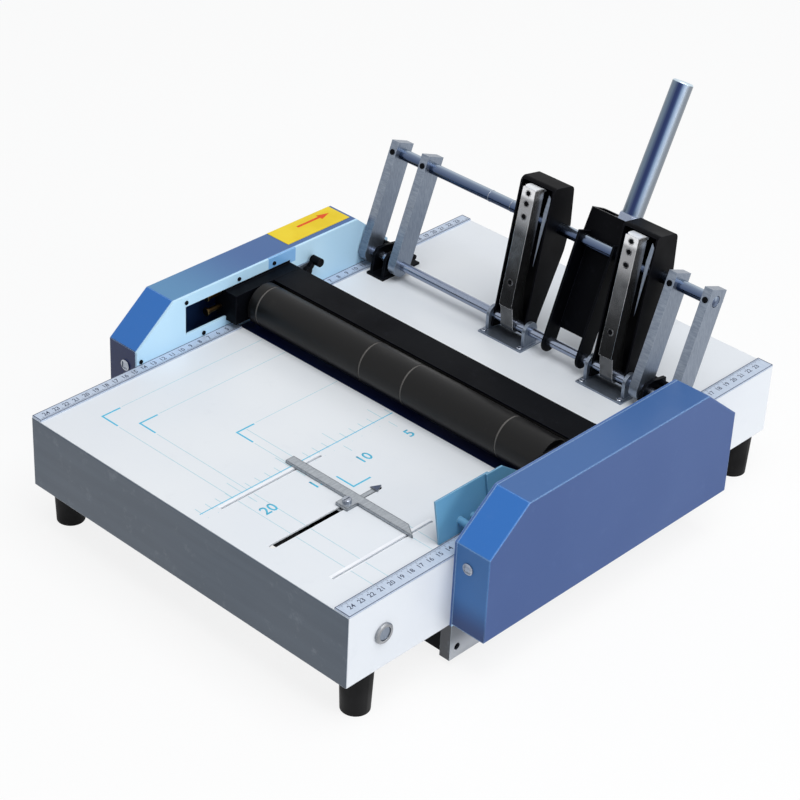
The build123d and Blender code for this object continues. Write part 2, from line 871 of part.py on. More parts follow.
def roller_axes():
    return (front_roller_y, rear_roller_y)


def bearing_block(side, reach):
    """Block with a tongue that slides in the window of the side plate."""
    body = block(sided(side, block_inner, plate_inner - slide_gap), (-carriage_front, carriage_rear),
                 (block_bottom, block_top))
    tongue_z = (window_low + slide_gap, window_high - slide_gap)
    tongue_x = sided(side, plate_inner - slide_gap, plate_outer + reach)
    body += block(tongue_x, (-carriage_front, carriage_rear), tongue_z)
    for y in roller_axes():
        bush_x = sided(side, block_inner - 1, plate_inner - slide_gap)
        body -= rod_x(bush_radius, bush_x, y, roller_height)
    return body


def left_bearing_block():
    return bearing_block(-1, left_tongue_reach)


def right_bearing_block():
    body = bearing_block(1, gear_clear - slide_gap)
    for y in roller_axes():
        body -= rod_x(roller_shaft_radius + slide_gap, (block_inner, roller_gear_x + 1), y, roller_height)
    return body


def sliding_guide():
    """Plate that lengthens the paper guide up to the roller, with a tab on the right block's inner face."""
    rear = sliding_guide_end - carriage_front
    outline = ((-sliding_guide_front, sliding_guide_low), (rear, sliding_guide_low),
               (-sliding_guide_top_end, guide_height), (-sliding_guide_front, guide_height))
    offset = guide_sheet + sliding_guide_gap
    plate = guide_place() * side_outline(outline, (offset, offset + guide_sheet))
    web_low = sliding_guide_low + guide_sheet
    sheet_x = guide_x + offset + guide_sheet / 2 - web_low * math.tan(math.radians(guide_lean))
    web_y = (-carriage_front - sliding_guide_web, -carriage_front)
    plate += block((sheet_x, block_inner), web_y, (web_low, web_low + guide_sheet))
    tab_x = (block_inner - guide_sheet, block_inner)
    tab_y = (web_y[0], sliding_guide_tab - carriage_front)
    return plate + block(tab_x, tab_y, (block_bottom, sliding_guide_tab_top))


def roller_bearings():
    bushes = []
    for side in (-1, 1):
        for y in roller_axes():
            bush_x = sided(side, block_inner, plate_inner - slide_gap)
            bush = rod_x(bush_radius, bush_x, y, roller_height)
            bushes.append(bush - rod_x(roller_shaft_radius + run_fit, bush_x, y, roller_height))
    return bushes


def roller_guard():
    guard_x = (-block_inner, block_inner)
    top = block(guard_x, (guard_front, carriage_rear), (guard_top - guard_sheet, guard_top))
    wall_y = (carriage_rear - guard_sheet, carriage_rear)
    return top + block(guard_x, wall_y, (guard_wall_bottom, guard_top))


def nip_screws():
    """Screws with round heads in the front faces of both blocks."""
    left_x = -plate_outer - left_tongue_reach / 2
    right_x = (block_inner + plate_inner) / 2
    head_y = (-carriage_front - nip_screw_length - nip_screw_head / 2, -carriage_front - nip_screw_length)
    shank_y = (-carriage_front - nip_screw_length, -carriage_front)
    screws = []
    for x in (left_x, right_x):
        for z in (nip_screw_low, nip_screw_high):
            screws.append(rod_y(nip_screw_radius, x, shank_y, z) + rod_y(nip_screw_head, x, head_y, z))
    return screws


def latch_bracket():
    outer = plate_inner - slide_gap
    sheet_y = (carriage_rear, carriage_rear + latch_bracket_length)
    sheet = block((-outer, latch_bracket_sheet - outer), sheet_y,
                  (latch_bracket_low, latch_bracket_high))
    hole_x = (-outer - 1, latch_bracket_sheet - outer + 1)
    return sheet - rod_x(latch_pin_radius + run_fit, hole_x, latch_y, latch_z)


def latch_lever():
    """Bent latch: pin, hub, arm and a round knob pointing inwards."""
    face = latch_bracket_sheet + slide_gap + slide_gap - plate_inner
    knob_y = latch_y + latch_reach / math.sqrt(2)
    knob_z = latch_z + latch_reach / math.sqrt(2)
    lever = rod_x(latch_hub, (face, face + latch_thickness), latch_y, latch_z)
    lever += rod_x(latch_knob_radius, (face, face + latch_knob_length), knob_y, knob_z)
    arm = block((face, face + latch_thickness), (0, latch_reach), (-latch_hub / 2, latch_hub / 2))
    lever += Location((0, latch_y, latch_z), (45, 0, 0)) * arm
    return lever + rod_x(latch_pin_radius, (slide_gap - plate_inner, face), latch_y, latch_z)


def front_roller():
    roller_x = (-roller_half_length, roller_half_length)
    roller = rod_x(front_roller_radius, roller_x, front_roller_y, roller_height)
    for place in ring_places:
        x = place - roller_half_length
        ring_x = (x - ring_width / 2, x + ring_width / 2)
        ring = rod_x(front_roller_radius + 1, ring_x, front_roller_y, roller_height)
        roller -= ring - rod_x(front_roller_radius - ring_depth, ring_x, front_roller_y, roller_height)
    bore_x = (-roller_half_length - 1, roller_half_length + 1)
    return roller - rod_x(roller_shaft_radius, bore_x, front_roller_y, roller_height)


def rear_roller():
    roller_x = (-roller_half_length, roller_half_length)
    roller = rod_x(rear_roller_radius, roller_x, rear_roller_y, roller_height)
    bore_x = (-roller_half_length - 1, roller_half_length + 1)
    return roller - rod_x(roller_shaft_radius, bore_x, rear_roller_y, roller_height)


def roller_shaft(y):
    span = (roller_shaft_end_gap + slide_gap - plate_inner, roller_gear_x + gear_width)
    return rod_x(roller_shaft_radius, span, y, roller_height)


# Lever frame

def lever_bar(near, side):
    span = sided(side, near, near + bar_thickness)
    half = bar_width / 2
    bar = block(span, (-half, half), (0, rod_reach + bar_end)) + rod_x(half, span, 0, 0)
    bar -= rod_x(pivot_radius, span, 0, 0)
    bar -= rod_x(rod_radius, span, 0, rod_reach)
    middle = sum(span) / 2
    return lever_place * (bar - rod_y(set_screw_radius, middle, (-half - 1, -rod_radius), rod_reach))


def bar_set_screws():
    screws = []
    for side in (-1, 1):
        for near in (inner_bar_x, outer_bar_x):
            x = side * (near + bar_thickness / 2)
            screw = rod_y(set_screw_radius, x, (-bar_width / 2 - set_screw_proud, -rod_radius), rod_reach)
            screws.append(lever_place * screw)
    return screws


def cross_rod():
    rod = rod_x(rod_radius, (-rod_half_length, rod_half_length), 0, rod_reach)
    return lever_place * chamfer(rod.edges(), rod_chamfer)


def pivot_shaft():
    return rod_x(pivot_radius, (-pinion_x - gear_width, plate_outer + pivot_overhang), pivot_y, pivot_z)


def handle_block():
    """Upright in the handle's own frame, with the grip's bore and an open pocket at the left."""
    body = block((lever_block_left, lever_block_right), (-lever_block_depth / 2, lever_block_depth / 2),
                 (-collar_height - lever_block_height, -collar_height))
    body = fillet(body.edges().filter_by(Axis.Z), lever_block_fillet)
    body -= rod_z(handle_radius, handle_x, 0, (-collar_height - handle_depth, -collar_height + 1))
    pocket_right = handle_x - handle_radius - pocket_wall
    pocket_y = (pocket_wall - lever_block_depth / 2, lever_block_depth / 2 - pocket_wall)
    pocket_z = (pocket_wall - collar_height - lever_block_height, 1 - collar_height)
    return body - block((lever_block_left + pocket_wall, pocket_right), pocket_y, pocket_z)


def lever_block():
    return handle_place * handle_block()


def lever_arm():
    """Channel from the shaft to the block: a web behind the rod and two side flanges."""
    web_rear = arm_web_behind + arm_sheet
    channel = block((arm_left, arm_right), (arm_web_behind, web_rear), (arm_web_start, arm_end))
    for x_span in ((arm_left, arm_left + arm_sheet), (arm_right - arm_sheet, arm_right)):
        channel += block(x_span, (-arm_front, web_rear), (0, arm_end)) + rod_x(arm_front, x_span, 0, 0)
    span = (arm_left - 1, arm_right + 1)
    channel -= rod_x(pivot_radius, span, 0, 0)
    channel -= rod_x(rod_radius, span, 0, rod_reach)
    whole_block = block((lever_block_left - 1, lever_block_right + 1),
                        (-lever_block_depth / 2, lever_block_depth / 2 + lever_block_clear),
                        (-collar_height - lever_block_height, collar_height))
    return lever_place * channel - handle_place * whole_block


def handle_collar():
    hexagon = RegularPolygon(collar_flat / math.sqrt(3), 6)
    collar = Pos(handle_x, 0, -collar_height) * extrude(hexagon, collar_height)
    collar = chamfer(collar.edges().group_by(Axis.Z)[-1], collar_chamfer)
    return handle_place * (collar - rod_z(handle_radius, handle_x, 0, (-collar_height - 1, 1)))


def handle_tube():
    bottom = -collar_height - handle_depth
    tube = rod_z(handle_radius, handle_x, 0, (bottom, handle_length))
    tube = fillet(tube.edges().group_by(Axis.Z)[-1], handle_end_fillet)
    bore_top = handle_length - handle_wall - handle_end_fillet
    return handle_place * (tube - rod_z(handle_radius - handle_wall, handle_x, 0, (bottom - 1, bore_top)))


def head_outline(wall, open_front):
    """Side view of a stapler head, or of its hollow when a wall is given."""
    front = -head_front - (head_cut if open_front else 0)
    bottom = -head_foot - (head_cut if open_front else 0)
    top = head_top - (head_top_wall if open_front else 0)
    return ((front, bottom), (front, top), (head_shoulder - wall, top), (head_rear - wall, rod_reach + wall),
            (head_rear - wall - head_back_slope, rod_reach - head_back_drop),
            (head_waist - wall, head_waist_height), (head_foot_rear - wall, bottom))


def stapler_body(centre):
    """Hollow head: two side walls, a back and a top, open at the front and below."""
    half = head_width / 2
    body = side_outline(head_outline(0, False), (centre - half, centre + half))
    top_edges = body.edges().filter_by(Axis.X).group_by(Axis.Z)[-1]
    body = fillet(top_edges, head_fillet)
    hollow_x = (centre - half + head_wall, centre + half - head_wall)
    body -= side_outline(head_outline(head_wall, True), hollow_x)
    through = (centre - half - 1, centre + half + 1)
    body -= rod_x(pivot_radius, through, 0, 0)
    rod_spot = head_place.inverse() * lever_place * Pos(0, 0, rod_reach)
    body -= rod_x(rod_radius, through, rod_spot.position.Y, rod_spot.position.Z)
    return head_place * body


def magazine(centre):
    """Staple magazine on its own boss around the shaft, with its closing edge to the front."""
    half = magazine_width / 2
    span = (centre - half, centre + half)
    rear = magazine_depth - magazine_front
    body = block(span, (-magazine_front, rear), (magazine_start, magazine_end))
    nose_edge = body.edges().filter_by(Axis.X).group_by(Axis.Z)[-1]
    body = chamfer(nose_edge.group_by(Axis.Y)[-1], magazine_chamfer)
    cheek_front = magazine_step - magazine_front
    cheek = ((-magazine_boss, 0), (cheek_front, magazine_start), (cheek_front, magazine_cheek),
             (rear, magazine_cheek), (magazine_boss, 0))
    body += side_outline(cheek, span) + rod_x(magazine_boss, span, 0, 0)
    body -= rod_x(pivot_radius + run_fit, (span[0] - 1, span[1] + 1), 0, 0)
    for height in magazine_holes:
        hole_y = (-magazine_front - 1, magazine_hole_depth - magazine_front)
        body -= rod_y(magazine_hole_radius, centre, hole_y, height)
    return head_place * body


# Paper stop

def stop_pointer():
    """Flat triangle on the tongue's end that points at the printed scale."""
    base_y = stop_tongue - stop_bar_rear - stop_pointer_length / 2
    half = stop_pointer_width / 2
    outline = Polyline((stop_slot_x - half, base_y), (stop_slot_x + half, base_y),
                       (stop_slot_x, base_y + stop_pointer_length), close=True)
    return Pos(0, 0, slide_gap) * extrude(make_face(outline), amount=stop_pointer_height, dir=(0, 0, 1))


def stop_bar():
    """Bar on the table with its neck through the slot, a boss for the screw, a foot and two guide pins."""
    left = stop_slot_x - stop_bar_left
    right = stop_slot_x + stop_bar_right
    front = -stop_bar_rear - stop_bar_width
    outline = Polyline((left, front), (right, front), (right - stop_bar_cut, -stop_bar_rear),
                       (left, -stop_bar_rear), close=True)
    bar = Pos(0, 0, slide_gap) * extrude(make_face(outline), amount=stop_bar_height, dir=(0, 0, 1))
    neck_half = stop_slot_width / 2 - slide_gap
    foot_top = -table_sheet - slide_gap
    tongue_y = (stop_screw_y, stop_tongue - stop_bar_rear)
    bar += block((stop_slot_x - neck_half, stop_slot_x + neck_half), tongue_y, (foot_top, slide_gap))
    bar += rod_z(neck_half, stop_slot_x, stop_screw_y, (foot_top, slide_gap))
    bar += stop_pointer()
    boss_half = stop_boss_size / 2
    boss_x = (stop_slot_x - boss_half, stop_slot_x + boss_half)
    bar += block(boss_x, (stop_screw_y - boss_half, front), (slide_gap, slide_gap + stop_bar_height))
    foot_half = stop_foot_size / 2
    foot_x = (stop_slot_x - foot_half, stop_slot_x + foot_half)
    foot_y = (stop_screw_y - foot_half, stop_screw_y + foot_half)
    bar += block(foot_x, foot_y, (foot_top - stop_foot_height, foot_top))
    for offset in stop_guide_offsets:
        pin_radius = stop_guide_width / 2 - slide_gap
        bar += rod_z(pin_radius, stop_slot_x + offset, stop_bar_centre_y, (foot_top, slide_gap))
    bore = (foot_top - stop_foot_height - 1, slide_gap + stop_bar_height + 1)
    return bar - rod_z(stop_screw_radius + run_fit, stop_slot_x, stop_screw_y, bore)


def stop_clamp_screw():
    top = slide_gap + stop_bar_height
    bottom = -table_sheet - slide_gap - stop_foot_height
    head = rod_z(stop_screw_head, stop_slot_x, stop_screw_y, (top, top + stop_screw_height))
    head = chamfer(head.edges().group_by(Axis.Z)[-1], stop_screw_chamfer)
    slot = block((stop_slot_x - stop_screw_slot / 2, stop_slot_x + stop_screw_slot / 2),
                 (stop_screw_y - stop_screw_head - 1, stop_screw_y + stop_screw_head + 1),
                 (top + stop_screw_height - stop_screw_slot, top + stop_screw_height + 1))
    return head - slot + rod_z(stop_screw_radius, stop_slot_x, stop_screw_y, (bottom, top))


# Start button and power inlet

def button_bezel():
    ring_x = (half_width, half_width + bezel_height)
    sleeve_x = (half_width - bezel_sleeve_length, half_width)
    bezel = rod_x(bezel_radius, ring_x, button_y, button_z)
    bezel += rod_x(bezel_sleeve, sleeve_x, button_y, button_z)
    outer_rim = bezel.edges().filter_by(GeomType.CIRCLE).sort_by(Axis.X)[-1]
    bezel = chamfer(outer_rim, bezel_chamfer)
    hollow_x = (half_width - bezel_sleeve_length + button_rear_wall, half_width + bezel_height + 1)
    bezel -= rod_x(button_radius + slide_gap, hollow_x, button_y, button_z)
    bore_x = (hollow_x[0] - button_rear_wall - 1, hollow_x[0] + 1)
    return bezel - rod_x(button_stem_radius + run_fit, bore_x, button_y, button_z)


def start_button():
    cap_front = half_width + bezel_height - button_recess
    cap = rod_x(button_radius, (cap_front - button_cap_height, cap_front), button_y, button_z)
    stem_end = half_width - bezel_sleeve_length - button_stem_overhang
    return cap + rod_x(button_stem_radius, (stem_end, cap_front - button_cap_height), button_y, button_z)


def power_inlet():
    inner_face = rear_reach - table_sheet
    half_x = inlet_width / 2 - slide_gap / 2
    half_z = inlet_height / 2 - slide_gap / 2
    body = block((inlet_x - half_x, inlet_x + half_x), (inner_face - inlet_depth, rear_reach),
                 (inlet_z - half_z, inlet_z + half_z))
    body += block((inlet_x - inlet_width / 2 - inlet_flange, inlet_x + inlet_width / 2 + inlet_flange),
                  (inner_face - inlet_wall, inner_face),
                  (inlet_z - inlet_height / 2 - inlet_flange, inlet_z + inlet_height / 2 + inlet_flange))
    recess = block((inlet_x - half_x + inlet_wall, inlet_x + half_x - inlet_wall),
                   (rear_reach - inlet_recess, rear_reach + 1),
                   (inlet_z - half_z + inlet_wall, inlet_z + half_z - inlet_wall))
    return body - recess


# Roller drive

def gear_motor():
    """Gearbox on four posts with its motor lying along the cover."""
    near = roller_gear_x + gear_width + gearbox_gap
    box = block((near, near + gearbox_width), (gearbox_front, gearbox_rear), (gearbox_low, gearbox_high))
    for y in (gearbox_front + gearbox_post_inset, gearbox_rear - gearbox_post_inset):
        for z in (gearbox_low + gearbox_post_inset, gearbox_high - gearbox_post_inset):
            box += rod_x(gearbox_post, (plate_outer, near), y, z)
    motor_x = near + gearbox_width / 2
    box += rod_y(motor_radius, motor_x, (gearbox_rear, gearbox_rear + motor_length), roller_height)
    shaft_hole = (near - 1, near + drive_shaft_depth + slide_gap)
    return box - rod_x(drive_shaft_radius + run_fit, shaft_hole, drive_gear_y, roller_height)


def control_board():
    """Board with its raised components, on four posts from the right side plate."""
    face = plate_outer + board_gap
    board = block((face, face + board_sheet), (-board_front, -board_rear), (board_low, board_high))
    top = face + board_sheet
    relay_front = relay_inset - board_front
    board += block((top, top + relay_height), (relay_front, relay_front + relay_length),
                   (board_low + relay_inset, board_low + relay_inset + relay_width))
    terminal_rear = -board_rear - terminal_inset
    board += block((top, top + terminal_height), (terminal_rear - terminal_length, terminal_rear),
                   (board_low + terminal_low, board_low + terminal_low + terminal_width))
    board += rod_x(capacitor_radius, (top, top + capacitor_height), capacitor_inset - board_front,
                   board_high - capacitor_drop)
    for y in (board_post_inset - board_front, -board_rear - board_post_inset):
        for z in (board_low + board_post_inset, board_high - board_post_inset):
            board += rod_x(board_post, (plate_outer, face), y, z)
    return board


# Fold knife

def fold_knife():
    half = knife_thickness / 2
    blade = block((-knife_half_length, knife_half_length), (-half, half), (-knife_bottom, -knife_web_top))
    for span in knife_fingers():
        blade += block(span, (-half, half), (-knife_web_top, -knife_rest))
    return blade


def knife_bracket(side):
    """Hangs from the bed: a slotted guide for the knife's end and a bearing for the rocker."""
    depth = knife_bracket_depth
    bracket = block(sided(side, knife_bracket_inner, knife_bracket_outer), (-depth, depth),
                    (-knife_bracket_low, bed_bottom))
    bearing_x = sided(side, knife_bracket_inner, knife_bracket_inner + rocker_bearing_sheet)
    bearing_rear = rocker_y + rocker_shaft_radius + rocker_bearing_wall
    bracket += block(bearing_x, (-depth, bearing_rear), (-knife_bracket_low, bed_bottom))
    slot_half = knife_thickness / 2 + knife_gap
    slot_x = sided(side, knife_bracket_inner - 1, knife_half_length + knife_gap)
    bracket -= block(slot_x, (-slot_half, slot_half), (-knife_bracket_low - 1, bed_bottom + 1))
    bore_x = sided(side, knife_bracket_inner - 1, knife_bracket_inner + rocker_bearing_sheet + 1)
    return bracket - rod_x(rocker_shaft_radius + run_fit, bore_x, rocker_y, rocker_z)


def rocker_arm(x_span):
    """Tapered arm from the shaft at the origin to its round tip along -Y."""
    length = rocker_arm_length
    outline = ((0, -rocker_arm_root), (0, rocker_arm_root),
               (-length, rocker_tip_radius), (-length, -rocker_tip_radius))
    arm = side_outline(outline, x_span) + rod_x(rocker_arm_root, x_span, 0, 0)
    return arm + rod_x(rocker_tip_radius, x_span, -length, 0)


def knife_rocker():
    """Shaft with two lifting arms and a forked tail, drawn level and turned to its rest."""
    end = knife_bracket_inner + rocker_bearing_sheet
    rocker = rod_x(rocker_shaft_radius, (-end, end), 0, 0)
    for side in (-1, 1):
        x = side * rocker_arm_x
        rocker += rocker_arm((x - rocker_arm_width / 2, x + rocker_arm_width / 2))
        tail_x = sided(side, rocker_tail_inner, rocker_tail_inner + rocker_tail_sheet)
        tail = block(tail_x, (0, rocker_tail), (-rocker_tip_radius, rocker_tip_radius))
        rocker += tail + rod_x(rocker_arm_root, tail_x, 0, 0)
        rocker += rod_x(rocker_tip_radius, tail_x, rocker_tail, 0)
    pin_end = rocker_tail_inner + rocker_tail_sheet
    rocker += rod_x(rocker_pin_radius, (-pin_end, pin_end), rocker_tail, 0)
    return Location((0, rocker_y, rocker_z), (rocker_angle, 0, 0)) * rocker


def plunger_top():
    """Height of the rocker's tail pin at rest."""
    return rocker_z + rocker_tail * math.sin(math.radians(rocker_angle))


def plunger_y():
    return rocker_y + rocker_tail


def solenoid_plunger():
    """Round iron core with a head whose window holds the rocker's tail pin."""
    pin_z = plunger_top()
    half_x = plunger_head_width / 2
    y_span = (plunger_y() - plunger_head_depth / 2, plunger_y() + plunger_head_depth / 2)
    z_span = (pin_z - plunger_head_height / 2, pin_z + plunger_head_height / 2)
    head = block((-half_x, half_x), y_span, z_span)
    slot_z = rocker_pin_radius + plunger_slot_play
    slot_y = (plunger_y() - plunger_slot_depth / 2, plunger_y() + plunger_slot_depth / 2)
    head -= block((-half_x - 1, half_x + 1), slot_y, (pin_z - slot_z, pin_z + slot_z))
    core_bottom = pan_floor + coil_floor + plunger_travel + slide_gap
    return head + rod_z(plunger_radius, 0, plunger_y(), (core_bottom, z_span[0]))


def solenoid_coil():
    half = coil_width / 2
    coil = block((-half, half), (plunger_y() - half, plunger_y() + half), (pan_floor, -coil_top))
    return coil - rod_z(plunger_radius + run_fit, 0, plunger_y(), (pan_floor + coil_floor, 1 - coil_top))


save(front_table(), "front_table")
save(rear_table(), "rear_table")
save(bed_plate(), "bed_plate")
save_set(table_rulers(), "table_rulers")
save(left_side_plate(), "left_side_plate")
save(side_plate(1), "right_side_plate")
save(cover(-1), "left_cover")
save(cover(1), "right_cover")
save_set(chassis_screws(), "chassis_screws")
save(right_paper_guide(), "right_paper_guide")
save(direction_label(), "direction_label")
save_set(rubber_feet(), "rubber_feet")
save_set(cross_bars(), "cross_bars")
save(bottom_pan(), "bottom_pan")
save_set([pivot_bracket(-1), pivot_bracket(1)], "pivot_brackets")
save_set([stapler_base(left_head_x), stapler_base(right_head_x)], "stapler_bases")
save_set([staple_anvil(left_head_x), staple_anvil(right_head_x)], "staple_anvils")
save(gear_motor(), "gear_motor")
save(control_board(), "control_board")
save(button_bezel(), "button_bezel")
save(start_button(), "start_button")
save(power_inlet(), "power_inlet")
save(left_bearing_block(), "left_bearing_block")
save(right_bearing_block(), "right_bearing_block")
save(sliding_guide(), "sliding_guide")
save_set(roller_bearings(), "roller_bearings")
save(roller_guard(), "roller_guard")
save_set(nip_screws(), "nip_screws")
save(latch_bracket(), "latch_bracket")
save(latch_lever(), "latch_lever")
save(carriage_rack(), "carriage_rack")
save(front_roller(), "front_roller")
save(roller_shaft(front_roller_y), "front_roller_shaft")
save(front_roller_gear(), "front_roller_gear")
save(rear_roller(), "rear_roller")
save(roller_shaft(rear_roller_y), "rear_roller_shaft")
save(rear_roller_gear(), "rear_roller_gear")
save(drive_gear(), "drive_gear")
save(idler_gear(), "idler_gear")
save(lever_pinion(), "lever_pinion")
save_set([lever_bar(outer_bar_x, -1), lever_bar(outer_bar_x, 1)], "outer_lever_bars")
save_set([lever_bar(inner_bar_x, -1), lever_bar(inner_bar_x, 1)], "inner_lever_bars")
save_set(bar_set_screws(), "bar_set_screws")
save(cross_rod(), "cross_rod")
save(pivot_shaft(), "pivot_shaft")
save(lever_arm(), "lever_arm")
save(lever_block(), "lever_block")
save(handle_collar(), "handle_collar")
save(handle_tube(), "handle_tube")
save(stapler_body(left_head_x), "left_stapler_body")
save(stapler_body(right_head_x), "right_stapler_body")
save(magazine(left_head_x), "left_magazine")
save(magazine(right_head_x), "right_magazine")
save(stop_bar(), "stop_bar")
save(stop_clamp_screw(), "stop_clamp_screw")
save(fold_knife(), "fold_knife")
save_set([knife_bracket(-1), knife_bracket(1)], "knife_brackets")
save(knife_rocker(), "knife_rocker")
save(solenoid_plunger(), "solenoid_plunger")
save(solenoid_coil(), "solenoid_coil")
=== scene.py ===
import math

import bpy
from mathutils import Matrix, Vector


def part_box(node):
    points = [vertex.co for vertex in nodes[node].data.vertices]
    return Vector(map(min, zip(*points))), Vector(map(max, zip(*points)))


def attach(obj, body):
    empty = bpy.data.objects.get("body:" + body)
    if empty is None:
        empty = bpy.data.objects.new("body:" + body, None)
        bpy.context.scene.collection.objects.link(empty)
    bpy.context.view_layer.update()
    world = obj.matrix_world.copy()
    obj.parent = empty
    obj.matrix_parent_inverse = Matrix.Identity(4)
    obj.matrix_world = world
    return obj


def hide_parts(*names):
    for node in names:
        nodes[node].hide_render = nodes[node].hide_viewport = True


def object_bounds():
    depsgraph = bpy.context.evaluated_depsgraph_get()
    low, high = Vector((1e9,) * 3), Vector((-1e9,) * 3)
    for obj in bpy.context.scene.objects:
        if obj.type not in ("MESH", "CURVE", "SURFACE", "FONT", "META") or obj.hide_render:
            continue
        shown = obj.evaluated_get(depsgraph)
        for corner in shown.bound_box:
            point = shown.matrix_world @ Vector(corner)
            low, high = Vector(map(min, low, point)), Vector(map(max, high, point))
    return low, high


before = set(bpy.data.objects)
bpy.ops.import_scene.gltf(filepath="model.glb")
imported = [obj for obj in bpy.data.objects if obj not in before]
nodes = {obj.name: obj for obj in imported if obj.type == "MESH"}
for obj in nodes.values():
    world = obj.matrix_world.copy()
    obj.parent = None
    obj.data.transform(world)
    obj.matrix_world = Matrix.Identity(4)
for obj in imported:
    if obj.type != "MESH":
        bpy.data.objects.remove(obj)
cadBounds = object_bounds()
mm = 0.001

# Places of the machine that the details are measured from
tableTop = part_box("front_table")[1].z
foldY = sum(corner.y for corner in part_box("bed_plate")) / 2
pivot = sum(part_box("pivot_shaft"), Vector()) / 2
leverLean, headLean, handleLean, guideLean = 21.1, 10.8, 25.5, 10.2  # degrees, as in the frame
print("frame loaded:", len(nodes), "nodes")


def onTable(x, y, z=0.0):  # millimetres from the fold line and the table top
    return Vector((x * mm, foldY + y * mm, tableTop + z * mm))


def leaning(degrees, point):  # a frame that leans to the rear about a point
    return Matrix.Translation(point) @ Matrix.Rotation(math.radians(-degrees), 4, "X")


def colourOf(*shade):  # a colour of 0 to 255 as the renderer wants it
    shares = [part / 255 for part in shade]
    return tuple(s / 12.92 if s <= 0.04045 else ((s + 0.055) / 1.055) ** 2.4 for s in shares) + (1.0,)


# What every finish has in common
common = {"dustDetail": 6.0, "dustRoughness": 0.7, "dustMarks": (0.55, 0.75), "cloudMarks": (0.3, 0.7),
          "edgeMarks": (0.02, 0.22), "edgeSamples": 4, "softShare": 0.6, "coatRoughness": 0.15}


# Shader sockets that are added and multiplied like numbers

class Link:
    def __init__(self, paint, socket):
        self.paint = paint
        self.socket = socket

    def maths(self, operation, *others):
        values = dict(enumerate((self, *others)))
        return self.paint.node("Math", {"operation": operation}, values)

    def reflected(self, operation, other):
        return self.paint.node("Math", {"operation": operation}, {0: other, 1: self})

    def __add__(self, other):
        return self.maths("ADD", other)

    def __sub__(self, other):
        return self.maths("SUBTRACT", other)

    def __rsub__(self, other):
        return self.reflected("SUBTRACT", other)

    def __mul__(self, other):
        return self.maths("MULTIPLY", other)

    def __pow__(self, other):
        return self.maths("POWER", other)

    __radd__ = __add__
    __rmul__ = __mul__

    def between(self, low, high):  # 0 up to low, 1 from high on, and smooth between
        settings = {"interpolation_type": "SMOOTHSTEP"}
        inputs = {"Value": self, "From Min": low, "From Max": high}
        return self.paint.node("MapRange", settings, inputs)

    def past(self, place, marks):  # the same between two marks in millimetres from a place
        return self.between(place + marks[0] * mm, place + marks[1] * mm)


class Paint:
    def __init__(self, owner):  # owner is a new material or world
        self.owner = owner
        owner.use_nodes = True
        self.tree = owner.node_tree
        self.tree.nodes.clear()

    def node(self, kind, settings=None, inputs=None, output=0):
        made = self.tree.nodes.new("ShaderNode" + kind)
        for key, value in (settings or {}).items():
            if key == "stops":
                self.setStops(made.color_ramp.elements, value)
            else:
                setattr(made, key, value)
        for key, value in (inputs or {}).items():
            if isinstance(value, Link):
                self.tree.links.new(value.socket, made.inputs[key])
            else:
                made.inputs[key].default_value = value
        return Link(self, made.outputs[output]) if made.outputs else None

    @staticmethod
    def setStops(elements, stops):
        while len(elements) < len(stops):
            elements.new(1.0)
        for element, (position, colour) in zip(elements, stops):
            element.position = position
            element.color = colourOf(*colour)

    def place(self, scale=(1, 1, 1), turn=(0, 0, 0), shift=(0, 0, 0)):
        point = self.node("TexCoord", output="Object")
        inputs = {"Vector": point, "Scale": scale, "Rotation": turn, "Location": shift}
        return self.node("Mapping", {"vector_type": "POINT"}, inputs)

    def axes(self, place):
        sockets = self.node("SeparateXYZ", inputs={0: place}).socket.node.outputs
        return [Link(self, socket) for socket in sockets]

    def noise(self, place, scale, detail=2.0, roughness=0.5):
        inputs = {"Vector": place, "Scale": scale, "Detail": detail, "Roughness": roughness}
        return self.node("TexNoise", inputs=inputs)

    def mix(self, share, first, second):
        return self.node("Mix", {"data_type": "RGBA"}, {0: share, 6: first, 7: second}, output=2)

    def edges(self, width):  # 1 along sharp edges, 0 on flat faces
        flat = self.node("NewGeometry", output="Normal")
        dot = {"operation": "DOT_PRODUCT"}
        along = self.node("VectorMath", dot, {0: self.softNormal(width), 1: flat}, output="Value")
        return (1 - along).between(*common["edgeMarks"])

    def softNormal(self, width):
        return self.node("Bevel", {"samples": common["edgeSamples"]}, {"Radius": width})

    def bump(self, height, depth, normal):
        return self.node("Bump", inputs={"Height": height, "Distance": depth, "Normal": normal})

    def finish(self, inputs):
        shader = self.node("BsdfPrincipled", inputs=inputs)
        self.node("OutputMaterial", inputs={"Surface": shader})
        return self.owner

    def seenRays(self):  # 1 for rays that show a thing itself, 0 for those that only light another
        names = ("Is Camera Ray", "Is Glossy Ray", "Is Transmission Ray")
        rays = [self.node("LightPath", output=name) for name in names]
        return rays[0].maths("MAXIMUM", rays[1]).maths("MAXIMUM", rays[2])


def newPaint(name):
    return Paint(bpy.data.materials.new(name))


# Finishes

def surface(paint, look, colour, rough, relief):  # dust, relief and an edge colour that all finishes share; a lighter edge colour is painted highlight, partly wear
    dust = paint.noise(paint.place(), look["dust"], common["dustDetail"], common["dustRoughness"])
    dusty = dust.between(*common["dustMarks"]) * look["dustAmount"]
    colour = paint.mix(dusty, colour, colourOf(*look["dustColour"]))
    # painted highlight along the edges where the edge colour is lighter than the face, partly wear
    edgeWearAndHighlight = paint.edges(look["edge"]) * look["edgeAmount"]
    colour = paint.mix(edgeWearAndHighlight, colour, colourOf(*look["edgeColour"]))
    return paint.finish({
        "Base Color": colour,
        "Metallic": look["metal"],
        "Roughness": rough * look["roughSpread"] + look["rough"],
        "Coat Weight": look["coat"],
        "Coat Roughness": common["coatRoughness"],
        "Specular IOR Level": look["gloss"],
        "Normal": paint.bump(relief, look["relief"], paint.softNormal(look["edge"] * common["softShare"])),
    })


